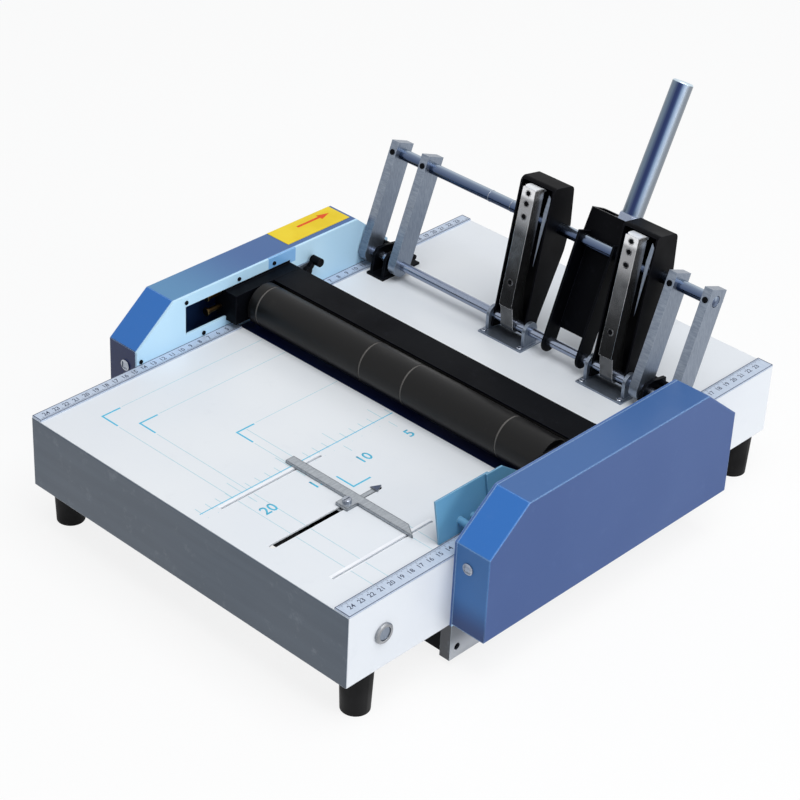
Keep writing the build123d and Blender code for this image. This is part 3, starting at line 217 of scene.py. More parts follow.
def paintFinish(look, tone=None):  # paint, plastic, rubber and ink: a cloudy colour with a fine grain
    paint = newPaint(look["name"])
    cloud = paint.noise(paint.place(), look["cloud"], detail=3.0).between(*common["cloudMarks"])
    grain = paint.noise(paint.place(), look["grain"], detail=1.0)
    colour = paint.mix(cloud, colourOf(*look["colour"]), colourOf(*look["shade"]))
    if tone:
        colour = tone(paint, colour)
    return surface(paint, look, colour, cloud, grain)


def metalFinish(look, tone=None):  # steel and plating: a grain that is drawn into lines where it is stretched
    paint = newPaint(look["name"])
    place = paint.place(scale=look["stretch"])
    grain = paint.noise(place, look["grain"], detail=3.0, roughness=0.6)
    cloud = grain.between(*common["cloudMarks"])
    colour = paint.mix(cloud, colourOf(*look["colour"]), colourOf(*look["shade"]))
    if tone:
        colour = tone(paint, colour)
    return surface(paint, look, colour, grain, grain)


# Marks are in millimetres from the place that a tone measures from, the rim's are shares of its slope

frontShadeLook = {"colour": colourOf(64, 78, 94), "shade": colourOf(70, 84, 100), "stretch": (1, 1, 14),
             "grain": 9.0, "marks": (0.2, 1.0)}
coverShadingLook = {"front": colourOf(58, 108, 168), "frontLow": colourOf(40, 66, 116),
             "leftFront": colourOf(10, 34, 84), "chamfer": colourOf(46, 108, 184),
             "top": colourOf(60, 96, 150), "topFront": colourOf(82, 132, 174),
             "foldHigh": (-103.1, 45.6), "foldLow": (-142.8, 13.6),
             "chamferMarks": (-0.7, -0.3), "topMarks": (-0.8, -0.3), "frontMarks": (0.3, 0.8),
             "dropMarks": (-58.0, -28.0), "fadeMarks": (-100.0, 0.0)}
plateLook = {"rim": colourOf(58, 96, 156), "rimMarks": (0.3, 0.6), "steelLow": colourOf(176, 180, 186),
             "steel": colourOf(104, 110, 118), "steelRim": colourOf(58, 62, 70),
             "steelMarks": (-92.0, -72.0), "lowMarks": (-63.0, -62.6),
             "patch": colourOf(96, 164, 228), "patchAmount": 0.8, "patchFrom": (1.4, 33.0),
             "patchTo": (32.6, 33.0), "patchMarks": (0.0, 0.3)}
ringLook = {"colour": colourOf(96, 94, 92), "floor": (-0.9, -0.7), "rim": (-0.45, -0.15)}
magazineReflectionLook = {"upperSheen": colourOf(158, 158, 160), "upperSheenMarks": (80.0, 96.0),
                "tip": colourOf(236, 236, 238), "tipMarks": (110.0, 114.0)}
tubeEndHighlight = {"colour": colourOf(196, 212, 224), "top": 67.5 * mm, "marks": (-1.2, -0.6)}
middleMarks = (-1.0, 1.0)  # the machine's left half to its right half


def slateFront(paint, colour):  # painted shade: the front apron of the white table is painted a darker slate grey
    y = paint.axes(paint.place())[1]
    streak = paint.noise(paint.place(scale=frontShadeLook["stretch"]), frontShadeLook["grain"])
    frontShade = paint.mix(streak.between(*common["cloudMarks"]), frontShadeLook["colour"], frontShadeLook["shade"])
    return paint.mix(1 - y.past(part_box("front_table")[0].y, frontShadeLook["marks"]), colour, frontShade)


def coverTones(paint, colour):  # painted light, shade and reflection: each fold of the sheet is painted its own shade of blue, lighter on the chamfer and top, darker on the left front and towards the foot of the right front
    look = coverShadingLook
    low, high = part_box("left_cover")
    foldHigh, foldLow = onTable(0, *look["foldHigh"]), onTable(0, *look["foldLow"])
    x, y, z = paint.axes(paint.place())
    along = (foldHigh - foldLow).normalized()
    offset = foldHigh.z * along.y - foldHigh.y * along.z
    chamfer = (z * along.y - y * along.z).past(offset, look["chamferMarks"])
    right = x.past(0, middleMarks)
    rightFront = paint.mix(z.past(tableTop, look["dropMarks"]), look["frontLow"], look["front"])
    leftTop = (1 - y.past(foldY, look["fadeMarks"])) * (1 - right)
    top = paint.mix(leftTop, look["top"], look["topFront"])
    colour = paint.mix(z.past(high.z, look["topMarks"]), colour, top)
    colour = paint.mix(chamfer, colour, look["chamfer"])
    front = 1 - y.past(low.y, look["frontMarks"])
    return paint.mix(front, colour, paint.mix(right, look["leftFront"], rightFront))


def plateTones(paint, colour):  # the plates' light blue is partly paint and partly painted reflection; the right plate gets blue rims and bare steel below, lighter towards the bottom with darker rims, and the left one a blue patch
    look = plateLook
    x, y, z = paint.axes(paint.place())
    right = x.past(0, middleMarks)
    across = paint.axes(paint.node("TexCoord", output="Normal"))[0]
    rim = (1 - (across * across).between(*look["rimMarks"])) * right
    colour = paint.mix(rim, colour, look["rim"])
    steel = paint.mix(z.past(tableTop, look["steelMarks"]), look["steelLow"], look["steel"])
    low = 1 - z.past(tableTop, look["lowMarks"])
    colour = paint.mix(low * right, colour, paint.mix(rim, steel, look["steelRim"]))
    start, end = onTable(0, *look["patchFrom"]), onTable(0, *look["patchTo"])
    inside = y.past(start.y, look["patchMarks"]) * (1 - y.past(end.y, look["patchMarks"]))
    patch = inside * z.past(start.z, look["patchMarks"]) * (1 - right)
    return paint.mix(patch * look["patchAmount"], colour, look["patch"])


def rollerRings(paint, colour):  # the turned grooves in the front roller are painted pale inside
    low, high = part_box("front_roller")
    y, z = paint.axes(paint.place(shift=-(low + high) / 2))[1:]
    radius = (y * y + z * z) ** 0.5
    outer = (high.z - low.z) / 2
    groove = (1 - radius.past(outer, ringLook["rim"])) * radius.past(outer, ringLook["floor"])
    return paint.mix(groove, colour, ringLook["colour"])


def magazineTone(paint, colour):  # painted reflection: dark below, lighter grey above the middle and bright at the tip
    look = magazineReflectionLook
    lean = math.radians(headLean)
    y, z = paint.axes(paint.place())[1:]
    along = y * math.sin(lean) + z * math.cos(lean)
    start = pivot.y * math.sin(lean) + pivot.z * math.cos(lean)
    colour = paint.mix(along.past(start, look["upperSheenMarks"]), colour, look["upperSheen"])
    return paint.mix(along.past(start, look["tipMarks"]), colour, look["tip"])


def tubeShine(stops, point, lean, standing):  # painted reflection: dark and light streaks round a bright tube that stands, or lies along x, and a painted highlight on the standing tube's top end
    turned = math.radians(lean)
    shift = -(Matrix.Rotation(turned, 4, "X") @ Vector(point))

    def tone(paint, colour):
        x, y, z = paint.axes(paint.place(turn=(turned, 0, 0), shift=shift))
        across, towards = (x, y) if standing else (y, z)
        share = across.maths("ARCTAN2", towards) * (0.5 / math.pi) + 0.5
        reflectionStreaks = paint.node("ValToRGB", {"stops": stops}, {0: share})
        if not standing:
            return reflectionStreaks
        return paint.mix(z.past(tubeEndHighlight["top"], tubeEndHighlight["marks"]), reflectionStreaks, tubeEndHighlight["colour"])
    return tone


# Values that most paints, metals and inks share come first, and each finish names only its own

inkLook = {"grain": 900.0, "relief": 0.00001, "dustAmount": 0.2, "edge": 0.02 * mm, "edgeAmount": 0.1,
           "rough": 0.45, "roughSpread": 0.1, "gloss": 0.2}
paintBase = {"metal": 0.0, "coat": 0.0, "gloss": 0.5, "grain": 900.0, "relief": 0.00002,
             "dustAmount": 0.1, "edge": 0.7 * mm, "edgeAmount": 0.5, "rough": 0.3, "roughSpread": 0.12,
             "dust": 70.0}
paints = {
    "white": {"name": "whiteTablePaint", "colour": (222, 226, 231), "shade": (216, 221, 228),
              "cloud": 6.0, "dust": 60.0, "dustAmount": 0.12, "dustColour": (190, 196, 206),
              "edge": 0.9 * mm, "edgeColour": (240, 244, 248), "rough": 0.32, "roughSpread": 0.14,
              "coat": 0.15},
    # the blue's pale edge colour is a painted highlight along the covers' edges
    "blue": {"name": "blueCoverPaint", "colour": (49, 80, 136), "shade": (44, 74, 130), "cloud": 5.0,
             "grain": 700.0, "relief": 0.000025, "dust": 90.0, "dustAmount": 0.05,
             "dustColour": (110, 138, 188), "edge": 1.7 * mm, "edgeAmount": 0.85,
             "edgeColour": (176, 214, 252), "coat": 0.12, "gloss": 0.25},
    # light blue that is partly the plates' paint and partly painted reflection
    "lightBlue": {"name": "lightBluePlatePaintAndReflection", "colour": (194, 230, 252), "shade": (182, 222, 250),
                  "cloud": 8.0, "grain": 800.0, "dustColour": (200, 226, 246),
                  "edgeColour": (220, 240, 252), "roughSpread": 0.15, "coat": 0.15},
    "navy": {"name": "navyBedPaint", "colour": (24, 36, 84), "shade": (18, 26, 64), "cloud": 7.0,
             "grain": 700.0, "dust": 80.0, "dustColour": (52, 62, 96), "edgeAmount": 0.4,
             "edgeColour": (80, 100, 150), "rough": 0.34, "roughSpread": 0.15, "gloss": 0.3},
    "guide": {"name": "guidePlatePaint", "colour": (114, 168, 198), "shade": (92, 146, 182),
              "cloud": 12.0, "grain": 800.0, "dustAmount": 0.08, "dustColour": (150, 186, 208),
              "edgeAmount": 0.6, "edgeColour": (168, 208, 232), "coat": 0.1},
    "label": {"name": "yellowLabelFilm", "colour": (232, 206, 34), "shade": (224, 194, 26), "cloud": 30.0,
              "grain": 1200.0, "relief": 0.00001, "dust": 160.0, "dustAmount": 0.12,
              "dustColour": (206, 182, 52), "edge": 0.4 * mm, "edgeColour": (150, 140, 70), "rough": 0.4,
              "gloss": 0.3},
    "roller": {"name": "rollerRubber", "colour": (11, 11, 12), "shade": (8, 8, 9), "cloud": 10.0,
               "grain": 700.0, "dustColour": (60, 58, 58), "edge": 0.5 * mm, "edgeAmount": 0.2,
               "edgeColour": (70, 70, 72), "rough": 0.32, "gloss": 0.22},
    "foot": {"name": "footRubber", "colour": (17, 17, 19), "shade": (11, 11, 13), "cloud": 30.0,
             "grain": 500.0, "relief": 0.00004, "dust": 200.0, "dustAmount": 0.2,
             "dustColour": (50, 48, 46), "edge": 0.6 * mm, "edgeAmount": 0.2, "edgeColour": (50, 50, 52),
             "rough": 0.5, "roughSpread": 0.2, "gloss": 0.15},
    "black": {"name": "blackMouldedPlastic", "colour": (7, 8, 12), "shade": (4, 4, 7), "cloud": 25.0,
              "grain": 1400.0, "relief": 0.00003, "dust": 170.0, "dustColour": (56, 56, 64),
              "edge": 0.6 * mm, "edgeAmount": 0.3, "edgeColour": (64, 66, 78), "rough": 0.36,
              "roughSpread": 0.15, "gloss": 0.05},
    "blackPaint": {"name": "blackSheetPaint", "colour": (6, 8, 13), "shade": (4, 5, 9), "cloud": 14.0,
                   "grain": 800.0, "relief": 0.00003, "dust": 100.0, "dustAmount": 0.14,
                   "dustColour": (50, 52, 62), "edge": 0.6 * mm, "edgeAmount": 0.4,
                   "edgeColour": (58, 62, 76), "rough": 0.4, "roughSpread": 0.18, "gloss": 0.05},
    "cyan": {**inkLook, "name": "cyanPrint", "colour": (64, 176, 212), "shade": (92, 188, 218),
             "cloud": 500.0, "dust": 400.0, "dustColour": (150, 204, 222), "edgeColour": (120, 190, 220)},
    "paleCyan": {**inkLook, "name": "paleCyanPrint", "colour": (158, 200, 212), "shade": (176, 208, 218),
                 "cloud": 500.0, "dust": 400.0, "dustColour": (196, 214, 222),
                 "edgeColour": (180, 206, 216)},
    "darkInk": {**inkLook, "name": "darkRulerInk", "colour": (62, 70, 90), "shade": (82, 90, 112),
                "cloud": 600.0, "dust": 400.0, "dustColour": (120, 128, 146), "edgeColour": (90, 98, 120)},
    "redInk": {**inkLook, "name": "redArrowInk", "colour": (214, 66, 22), "shade": (222, 88, 36),
               "cloud": 300.0, "dust": 300.0, "dustColour": (226, 130, 60), "edgeColour": (230, 120, 60)},
    "liner": {"name": "whiteGuideStrip", "colour": (236, 239, 244), "shade": (226, 230, 237),
              "cloud": 40.0, "relief": 0.00001, "dust": 120.0, "dustAmount": 0.15,
              "dustColour": (196, 200, 208), "edge": 0.2 * mm, "edgeAmount": 0.2,
              "edgeColour": (246, 248, 250), "rough": 0.4, "roughSpread": 0.1},
    "circuit": {"name": "circuitBoard", "colour": (34, 104, 62), "shade": (24, 84, 50), "cloud": 260.0,
                "relief": 0.00003, "dust": 300.0, "dustAmount": 0.5, "dustColour": (150, 140, 70),
                "edge": 0.4 * mm, "edgeAmount": 0.4, "edgeColour": (120, 150, 110), "rough": 0.35,
                "roughSpread": 0.2},
}

metalBase = {"coat": 0.0, "gloss": 0.5, "stretch": (1, 1, 1), "grain": 160.0, "relief": 0.00001,
             "dustAmount": 0.1, "edge": 0.4 * mm, "edgeAmount": 0.5, "rough": 0.3, "roughSpread": 0.12,
             "dust": 200.0, "metal": 1.0}
metals = {
    "bar": {"name": "brushedBarSteel", "colour": (140, 150, 164), "shade": (118, 128, 144),
            "stretch": (1, 12, 1), "dust": 120.0, "dustAmount": 0.2, "dustColour": (84, 84, 92),
            "edge": 0.5 * mm, "edgeColour": (196, 204, 216), "metal": 0.8, "rough": 0.26},
    "stop": {"name": "stopBarSteel", "colour": (176, 182, 188), "shade": (150, 156, 164),
             "stretch": (12, 1, 1), "dust": 140.0, "dustAmount": 0.15, "dustColour": (110, 114, 122),
             "edge": 2.2 * mm, "edgeAmount": 0.8, "edgeColour": (40, 44, 52), "metal": 0.7},
    "brightRing": {"name": "brightRingPlate", "colour": (232, 234, 238), "shade": (214, 218, 224),
                   "grain": 300.0, "relief": 0.000004, "dust": 300.0, "dustColour": (150, 154, 160),
                   "edge": 0.1 * mm, "edgeAmount": 0.3, "edgeColour": (244, 246, 250), "metal": 0.4,
                   "roughSpread": 0.08},
    "rod": {"name": "groundRodSteel", "colour": (150, 160, 180), "shade": (136, 146, 166),
            "stretch": (20, 1, 1), "grain": 220.0, "relief": 0.000005, "dust": 180.0, "dustAmount": 0.12,
            "dustColour": (82, 88, 106), "edgeAmount": 0.3, "edgeColour": (214, 222, 232), "metal": 0.95,
            "rough": 0.16, "roughSpread": 0.08},
    "chrome": {"name": "chromePlate", "colour": (176, 182, 192), "shade": (150, 157, 170), "grain": 240.0,
               "relief": 0.000004, "dustColour": (110, 116, 128), "edgeColour": (236, 240, 246),
               "rough": 0.12, "roughSpread": 0.06},
    "zinc": {"name": "zincPlate", "colour": (166, 168, 172), "shade": (140, 143, 148), "grain": 120.0,
             "dust": 230.0, "dustAmount": 0.25, "dustColour": (104, 106, 108), "edge": 0.5 * mm,
             "edgeColour": (218, 220, 224), "metal": 0.9, "roughSpread": 0.14},
    "ruler": {"name": "rulerSteel", "colour": (192, 204, 222), "shade": (178, 192, 212),
              "stretch": (1, 10, 1), "relief": 0.000005, "dust": 160.0, "dustColour": (130, 140, 160),
              "edge": 0.6 * mm, "edgeAmount": 0.8, "edgeColour": (104, 114, 140), "metal": 0.3,
              "rough": 0.4, "roughSpread": 0.1},
    "brass": {"name": "brassScrews", "colour": (92, 74, 46), "shade": (70, 54, 32), "grain": 200.0,
              "dust": 270.0, "dustAmount": 0.3, "dustColour": (110, 84, 46),
              "edgeColour": (236, 210, 150), "rough": 0.24},
    # the dark colour and bright edge colour are painted reflection on polished steel
    "magazine": {"name": "polishedMagazineSteel", "colour": (96, 97, 99), "shade": (78, 79, 81),
                 "grain": 120.0, "relief": 0.000004, "dust": 230.0, "dustAmount": 0.15,
                 "dustColour": (120, 120, 122), "edge": 0.9 * mm, "edgeAmount": 0.9,
                 "edgeColour": (232, 232, 234), "metal": 0.9, "rough": 0.2, "roughSpread": 0.08},
    "tube": {"name": "chromeHandleTube", "colour": (160, 170, 184), "shade": (150, 160, 176),
             "grain": 60.0, "relief": 0.000002, "dustAmount": 0.06, "dustColour": (90, 98, 112),
             "edgeAmount": 0.2, "edgeColour": (236, 240, 246), "metal": 0.55, "roughSpread": 0.05},
    "crossRod": {"name": "chromeCrossRod", "colour": (150, 164, 184), "shade": (140, 154, 176),
                 "grain": 60.0, "relief": 0.000002, "dustAmount": 0.08, "dustColour": (80, 88, 104),
                 "edgeAmount": 0.2, "edgeColour": (226, 234, 242), "rough": 0.18, "roughSpread": 0.06},
}


# Shares of a full turn, from the tube's front and from the rod's underside, and the painted reflection's
# shade there

tubeReflectionStops = [(0.0, (78, 94, 122)), (0.03, (104, 122, 142)), (0.11, (120, 134, 148)),
             (0.6, (118, 128, 140)), (0.7, (116, 124, 134)), (0.77, (124, 132, 142)),
             (0.82, (132, 142, 154)), (0.86, (158, 176, 200)), (0.885, (128, 150, 180)),
             (0.91, (58, 78, 120)), (0.93, (32, 48, 94)), (0.965, (32, 48, 92)),
             (1.0, (78, 94, 122))]
rodReflectionStops = [(0.0, (100, 114, 140)), (0.2, (50, 62, 86)), (0.32, (78, 92, 120)),
            (0.42, (112, 126, 150)), (0.5, (166, 180, 196)), (0.58, (122, 136, 158)),
            (0.75, (92, 106, 130)), (1.0, (100, 114, 140))]
tubeMiddle = sum(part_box("handle_tube"), Vector()) / 2
rodMiddle = sum(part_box("cross_rod"), Vector()) / 2

tones = {"white": slateFront, "blue": coverTones, "lightBlue": plateTones, "roller": rollerRings,
         "magazine": magazineTone, "tube": tubeShine(tubeReflectionStops, tubeMiddle, handleLean, True),
         "crossRod": tubeShine(rodReflectionStops, rodMiddle, 0.0, False)}

finishes = {key: paintFinish({**paintBase, **look}, tones.get(key)) for key, look in paints.items()}
finishes.update({key: metalFinish({**metalBase, **look}, tones.get(key)) for key, look in metals.items()})
print("finishes made:", len(finishes))

nodeFinishes = {
    "white": ["front_table", "rear_table"],
    "blue": ["left_cover", "right_cover"],
    "lightBlue": ["left_side_plate", "right_side_plate"],
    "navy": ["bed_plate"],
    "guide": ["right_paper_guide", "sliding_guide"],
    "label": ["direction_label"],
    "bar": ["outer_lever_bars", "inner_lever_bars", "stapler_bases", "cross_bars", "latch_bracket",
            "start_button"],
    "rod": ["pivot_shaft", "front_roller_shaft", "rear_roller_shaft", "handle_collar", "solenoid_plunger"],
    "crossRod": ["cross_rod"],
    "stop": ["stop_bar"],
    "tube": ["handle_tube"],
    "magazine": ["left_magazine", "right_magazine"],
    "chrome": ["stop_clamp_screw"],
    "zinc": ["chassis_screws", "button_bezel", "roller_bearings", "lever_pinion", "idler_gear", "drive_gear",
             "front_roller_gear", "rear_roller_gear", "carriage_rack", "staple_anvils", "gear_motor",
             "knife_rocker", "knife_brackets", "fold_knife"],
    "ruler": ["table_rulers"],
    "brass": ["nip_screws", "solenoid_coil"],
    "roller": ["front_roller", "rear_roller"],
    "foot": ["rubber_feet"],
    "black": ["lever_block", "left_stapler_body", "right_stapler_body", "power_inlet", "latch_lever"],
    "blackPaint": ["roller_guard", "left_bearing_block", "right_bearing_block", "bottom_pan", "lever_arm",
                   "pivot_brackets", "bar_set_screws"],
    "circuit": ["control_board"],
}
for finish, names in nodeFinishes.items():
    for name in names:
        materials = nodes[name].data.materials
        materials.clear()
        materials.append(finishes[finish])
print("frame pieces painted")


# Ways of working that the pieces share

textLook = {"digitShare": 0.7, "boldness": 0.012}  # a digit's height and its added weight, by the text's size
aligned = 0.9  # a face points in a direction when its normal reaches this far along it


def deselect():
    bpy.ops.object.select_all(action="DESELECT")


def onlySelect(*pieces):
    deselect()
    for piece in pieces:
        piece.select_set(True)
    bpy.context.view_layer.objects.active = pieces[0]


def settle(piece, spot=None):  # moves a piece to its spot and puts the place into its mesh
    if spot is not None:
        piece.matrix_world = spot @ piece.matrix_world
    onlySelect(piece)
    bpy.ops.object.transform_apply(location=True, rotation=True, scale=True)
    return piece


def copyOf(piece, spot):  # a copy with its own mesh
    onlySelect(piece)
    bpy.ops.object.duplicate(linked=False)
    return settle(bpy.context.object, spot)


def copiesOf(piece, spots):  # copies at every spot in place of the piece itself
    parts = [copyOf(piece, spot) for spot in spots]
    bpy.data.objects.remove(piece)
    return parts


def modify(piece, kind, **settings):
    onlySelect(piece)
    modifier = piece.modifiers.new(kind.lower(), kind)
    for key, value in settings.items():
        setattr(modifier, key, value)
    bpy.ops.object.modifier_apply(modifier=modifier.name)
    return piece


def edit(piece, kind, wanted=None):  # opens edit mode with the wanted faces or corners selected, or all
    onlySelect(piece)
    bpy.ops.object.mode_set(mode="EDIT")
    bpy.ops.mesh.select_mode(type=kind)
    bpy.ops.mesh.select_all(action="DESELECT")
    bpy.ops.object.mode_set(mode="OBJECT")
    for part in piece.data.polygons if kind == "FACE" else piece.data.vertices:
        part.select = wanted is None or wanted(part)
    bpy.ops.object.mode_set(mode="EDIT")


def closeEdit():
    bpy.ops.object.mode_set(mode="OBJECT")


def recalculate(piece, merge=0.000001):
    edit(piece, "FACE")
    bpy.ops.mesh.remove_doubles(threshold=merge)
    bpy.ops.mesh.normals_make_consistent(inside=False)
    closeEdit()
    return piece


def joined(parts):
    onlySelect(*parts)
    if len(parts) > 1:
        bpy.ops.object.join()
    return bpy.context.view_layer.objects.active


def finishPiece(name, parts, finish, body, smooth=0):
    piece = joined(parts)
    piece.name = name
    piece.data.materials.clear()
    piece.data.materials.append(finishes[finish])
    if smooth:
        onlySelect(piece)
        bpy.ops.object.shade_smooth_by_angle(angle=math.radians(smooth))
    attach(piece, body)
    return piece


def flatStrip(low, high, z):  # a flat strip of ink between two corners, in table millimetres
    middle = (low[0] + high[0]) / 2, (low[1] + high[1]) / 2
    bpy.ops.mesh.primitive_plane_add(size=1, location=onTable(*middle, z))
    strip = bpy.context.object
    strip.scale = ((high[0] - low[0]) * mm, (high[1] - low[1]) * mm, 1)
    return settle(strip)


def stripRow(low, high, z, step, count):  # one strip repeated along the table
    return modify(flatStrip(low, high, z), "ARRAY", use_relative_offset=False, use_constant_offset=True,
                  constant_offset_displace=(0, step * mm, 0), count=count)


def thicken(parts, height):  # joins flat strips and gives them the thickness of a print
    return modify(joined(parts), "SOLIDIFY", thickness=height * mm, offset=1.0)


def printedNumber(number, height, x, y, z=0.0):  # reads from the machine's right side
    bpy.ops.object.text_add(location=(0, 0, 0))
    text = bpy.context.object
    text.data.body = str(number)
    text.data.size = height * mm / textLook["digitShare"]
    text.data.resolution_u = 3
    text.data.offset = textLook["boldness"] * text.data.size
    text.data.align_x = "CENTER"
    text.data.align_y = "CENTER"
    onlySelect(text)
    bpy.ops.object.convert(target="MESH")
    turned = Matrix.Rotation(math.pi / 2, 4, "Z")
    return settle(bpy.context.object, Matrix.Translation(onTable(x, y, z)) @ turned)


def triangle(x, tip, length, width, z):  # a flat triangle that points to the rear
    radius = length / 1.5
    bpy.ops.mesh.primitive_circle_add(vertices=3, radius=radius * mm, fill_type="NGON",
                                      location=onTable(x, tip - radius, z))
    piece = bpy.context.object
    piece.scale = (width / (radius * math.sqrt(3)), 1, 1)
    return settle(piece)


# Printed scale on the front table

scaleLook = {"ink": 0.06, "lineX": 10.9, "lineWidth": 0.8, "first": -242.0, "last": -38.5, "tick": 0.6,
             "ticks": ((-240, 21, 10, 0.0, 7.0), (-200, 4, 50, 7.0, 16.0)), "armWidth": 1.5, "arm": 19.0,
             "fine": 0.5, "fineShare": 0.8, "numberX": 40.5, "numberHeight": 9.6, "numbers": (5, 10, 15, 20),
             "rearEnd": -38.0, "lift": 0.3, "gap": 2.0, "second": (2.5, 8.8),
             "breaks": (10.4, 12.2, 72.8, 128.8, 157.6), "restarts": (11.4, 17.8, 78.4, 134.4)}
corners = [(-138.4, -210.0), (-111.4, -195.0), (-51.4, -148.5)]  # left front corners of the sheet marks
innerCorner = (62.6, -134.0)


def scaleLine():
    look = scaleLook
    half = look["lineWidth"] / 2
    return flatStrip((look["lineX"] - half, look["first"]), (look["lineX"] + half, look["last"]), 0)


def besideSlot(low, high):  # leaves the guide slot's width out of a tick
    left, right = scaleLook["breaks"][1], scaleLook["restarts"][1]
    return [(low, left), (right, high)] if low < left and high > right else [(low, high)]


def scaleTicks():
    look = scaleLook
    half = look["tick"] / 2
    parts = []
    for side in (-1, 1):
        edge = look["lineX"] + side * look["lineWidth"] / 2
        for first, count, step, start, end in look["ticks"]:
            low, high = sorted((edge + side * start, edge + side * end))
            for left, right in besideSlot(low, high):
                ends = (left, first - half), (right, first + half)
                parts.append(stripRow(*ends, 0, step, count))
    return parts


def cornerMarks():
    look = scaleLook
    width, arm = look["armWidth"], look["arm"]
    parts = []
    for x, y in corners:
        parts.append(flatStrip((x, y), (x + arm, y + width), 0))
        parts.append(flatStrip((x, y + width), (x + width, y + arm), 0))
    x, y = innerCorner
    parts.append(flatStrip((x - arm, y), (x, y + width), 0))
    parts.append(flatStrip((x - width, y + width), (x, y + arm), 0))
    return parts


def lineAcross(start, y):  # a fine line to the right that leaves out the slots and the scale line
    parts = []
    for low, high in zip((start, *scaleLook["restarts"]), scaleLook["breaks"]):
        parts.append(flatStrip((low, y), (high, y + scaleLook["fine"]), 0))
    return parts


def fineLines():
    look = scaleLook
    reach = look["arm"] + look["gap"]
    parts = []
    for x, y in corners:
        parts += lineAcross(x + reach, y + look["lift"])
        parts.append(flatStrip((x, y + reach), (x + look["fine"], look["rearEnd"]), 0))
    x, y = corners[-1]
    return parts + lineAcross(x + look["second"][0], y + look["second"][1] + look["lift"])


def scaleNumbers():
    height, x = scaleLook["numberHeight"], scaleLook["numberX"]
    return [printedNumber(number, height, x, -10 * number) for number in scaleLook["numbers"]]


boldPrint = thicken([scaleLine(), *cornerMarks(), *scaleNumbers()], scaleLook["ink"])
finishPiece("printed_scale", [boldPrint], "cyan", "chassis")
finePrint = thicken([*scaleTicks(), *fineLines()], scaleLook["ink"] * scaleLook["fineShare"])
finishPiece("printed_fine_lines", [finePrint], "paleCyan", "chassis")
print("scale printed")


# White strips beside the two guide slots, and channels under them

stripLook = {"slots": (16.0, 132.6), "slotHalf": 1.2, "first": -226.0, "last": -121.6, "band": 2.6,
             "thinBand": 0.52, "ink": 0.05, "channelWidth": 7.0, "channelTop": -2.0, "channelDepth": 0.6,
             "channelBevel": 0.15, "over": 3.0}


def slotStrips(slotX):  # a wide band to the left of the slot and a thin one to the right
    look = stripLook
    left, right = slotX - look["slotHalf"], slotX + look["slotHalf"]
    return [flatStrip((left - look["band"], look["first"]), (left, look["last"]), 0),
            flatStrip((right, look["first"]), (right + look["thinBand"], look["last"]), 0)]


def slotChannel(slotX):
    look = stripLook
    half = look["channelWidth"] / 2
    low = (slotX - half, look["first"] - look["over"])
    high = (slotX + half, look["last"] + look["over"])
    channel = flatStrip(low, high, look["channelTop"] - look["channelDepth"])
    channel = modify(channel, "SOLIDIFY", thickness=look["channelDepth"] * mm, offset=1.0)
    return modify(channel, "BEVEL", width=look["channelBevel"] * mm, segments=2)


bands = thicken([band for slotX in stripLook["slots"] for band in slotStrips(slotX)], stripLook["ink"])
finishPiece("guide_slot_strips", [bands], "liner", "chassis")
channels = [slotChannel(slotX) for slotX in stripLook["slots"]]
finishPiece("guide_slot_channels", channels, "liner", "chassis")
print("slot strips laid")


# Red arrow on the yellow label

arrowLook = {"x": -197.6, "tail": 58.0, "tip": 96.0, "shaft": 2.6, "head": 8.0, "headLength": 12.0,
             "ink": 0.06}


def labelArrow():
    look = arrowLook
    top = (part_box("direction_label")[1].z - tableTop) / mm
    neck = look["tip"] - look["headLength"]
    half = look["shaft"] / 2
    shaft = flatStrip((look["x"] - half, look["tail"]), (look["x"] + half, neck), top)
    head = triangle(look["x"], look["tip"], look["headLength"], look["head"], top)
    return thicken([shaft, head], look["ink"])


finishPiece("label_arrow", [labelArrow()], "redInk", "chassis")
print("label printed")


# Graduations on the four ruler strips

rulerLook = {"ink": 0.04, "border": 0.6, "fine": 0.22, "ticks": ((1, 1.8), (5, 2.8), (10, 3.8)),
             "numberHeight": 4.2, "end": 0.8, "clear": 2, "numberClear": (5, 4)}
rulerStrips = [  # left edge, right edge, front, rear, the side of the ticks
    (-173.2, -163.0, -249.5, -38.0, 1), (158.3, 173.2, -249.5, -46.0, -1),
    (-173.2, -163.0, 38.0, 243.0, 1), (158.3, 173.2, 38.0, 243.0, -1)]


def rulerBorder(left, right, front, rear, top):
    width, end = rulerLook["border"], rulerLook["end"]
    return [flatStrip((left, front), (left + width, rear), top),
            flatStrip((right - width, front), (right, rear), top),
            flatStrip((left + width, front), (right - width, front + end), top),
            flatStrip((left + width, rear - end), (right - width, rear), top)]


def rulerTicks(edge, side, front, rear, top):
    parts = []
    half = rulerLook["fine"] / 2
    for step, length in rulerLook["ticks"]:
        first = math.ceil((front + rulerLook["clear"]) / step) * step
        count = int((rear - rulerLook["clear"] - first) // step) + 1
        low, high = sorted((edge, edge + side * length))
        parts.append(stripRow((low, first - half), (high, first + half), top, step, count))
    return parts


def rulerNumbers(left, right, front, rear, top):
    height = rulerLook["numberHeight"]
    frontClear, rearClear = rulerLook["numberClear"]
    places = range(math.ceil((front + frontClear) / 10) * 10, int(rear - rearClear), 10)
    return [printedNumber(abs(y) // 10, height, (left + right) / 2, y, top) for y in places]


def graduations():
    top = (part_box("table_rulers")[1].z - tableTop) / mm
    parts = []
    for left, right, front, rear, tickSide in rulerStrips:
        parts += rulerBorder(left, right, front, rear, top)
        edge = right - rulerLook["border"] if tickSide > 0 else left + rulerLook["border"]
        parts += rulerTicks(edge, -tickSide, front, rear, top)
        parts += rulerNumbers(left, right, front, rear, top)
    return thicken(parts, rulerLook["ink"])


finishPiece("ruler_graduations", [graduations()], "darkInk", "chassis")
print("rulers marked")


# Screw heads with a cross recess

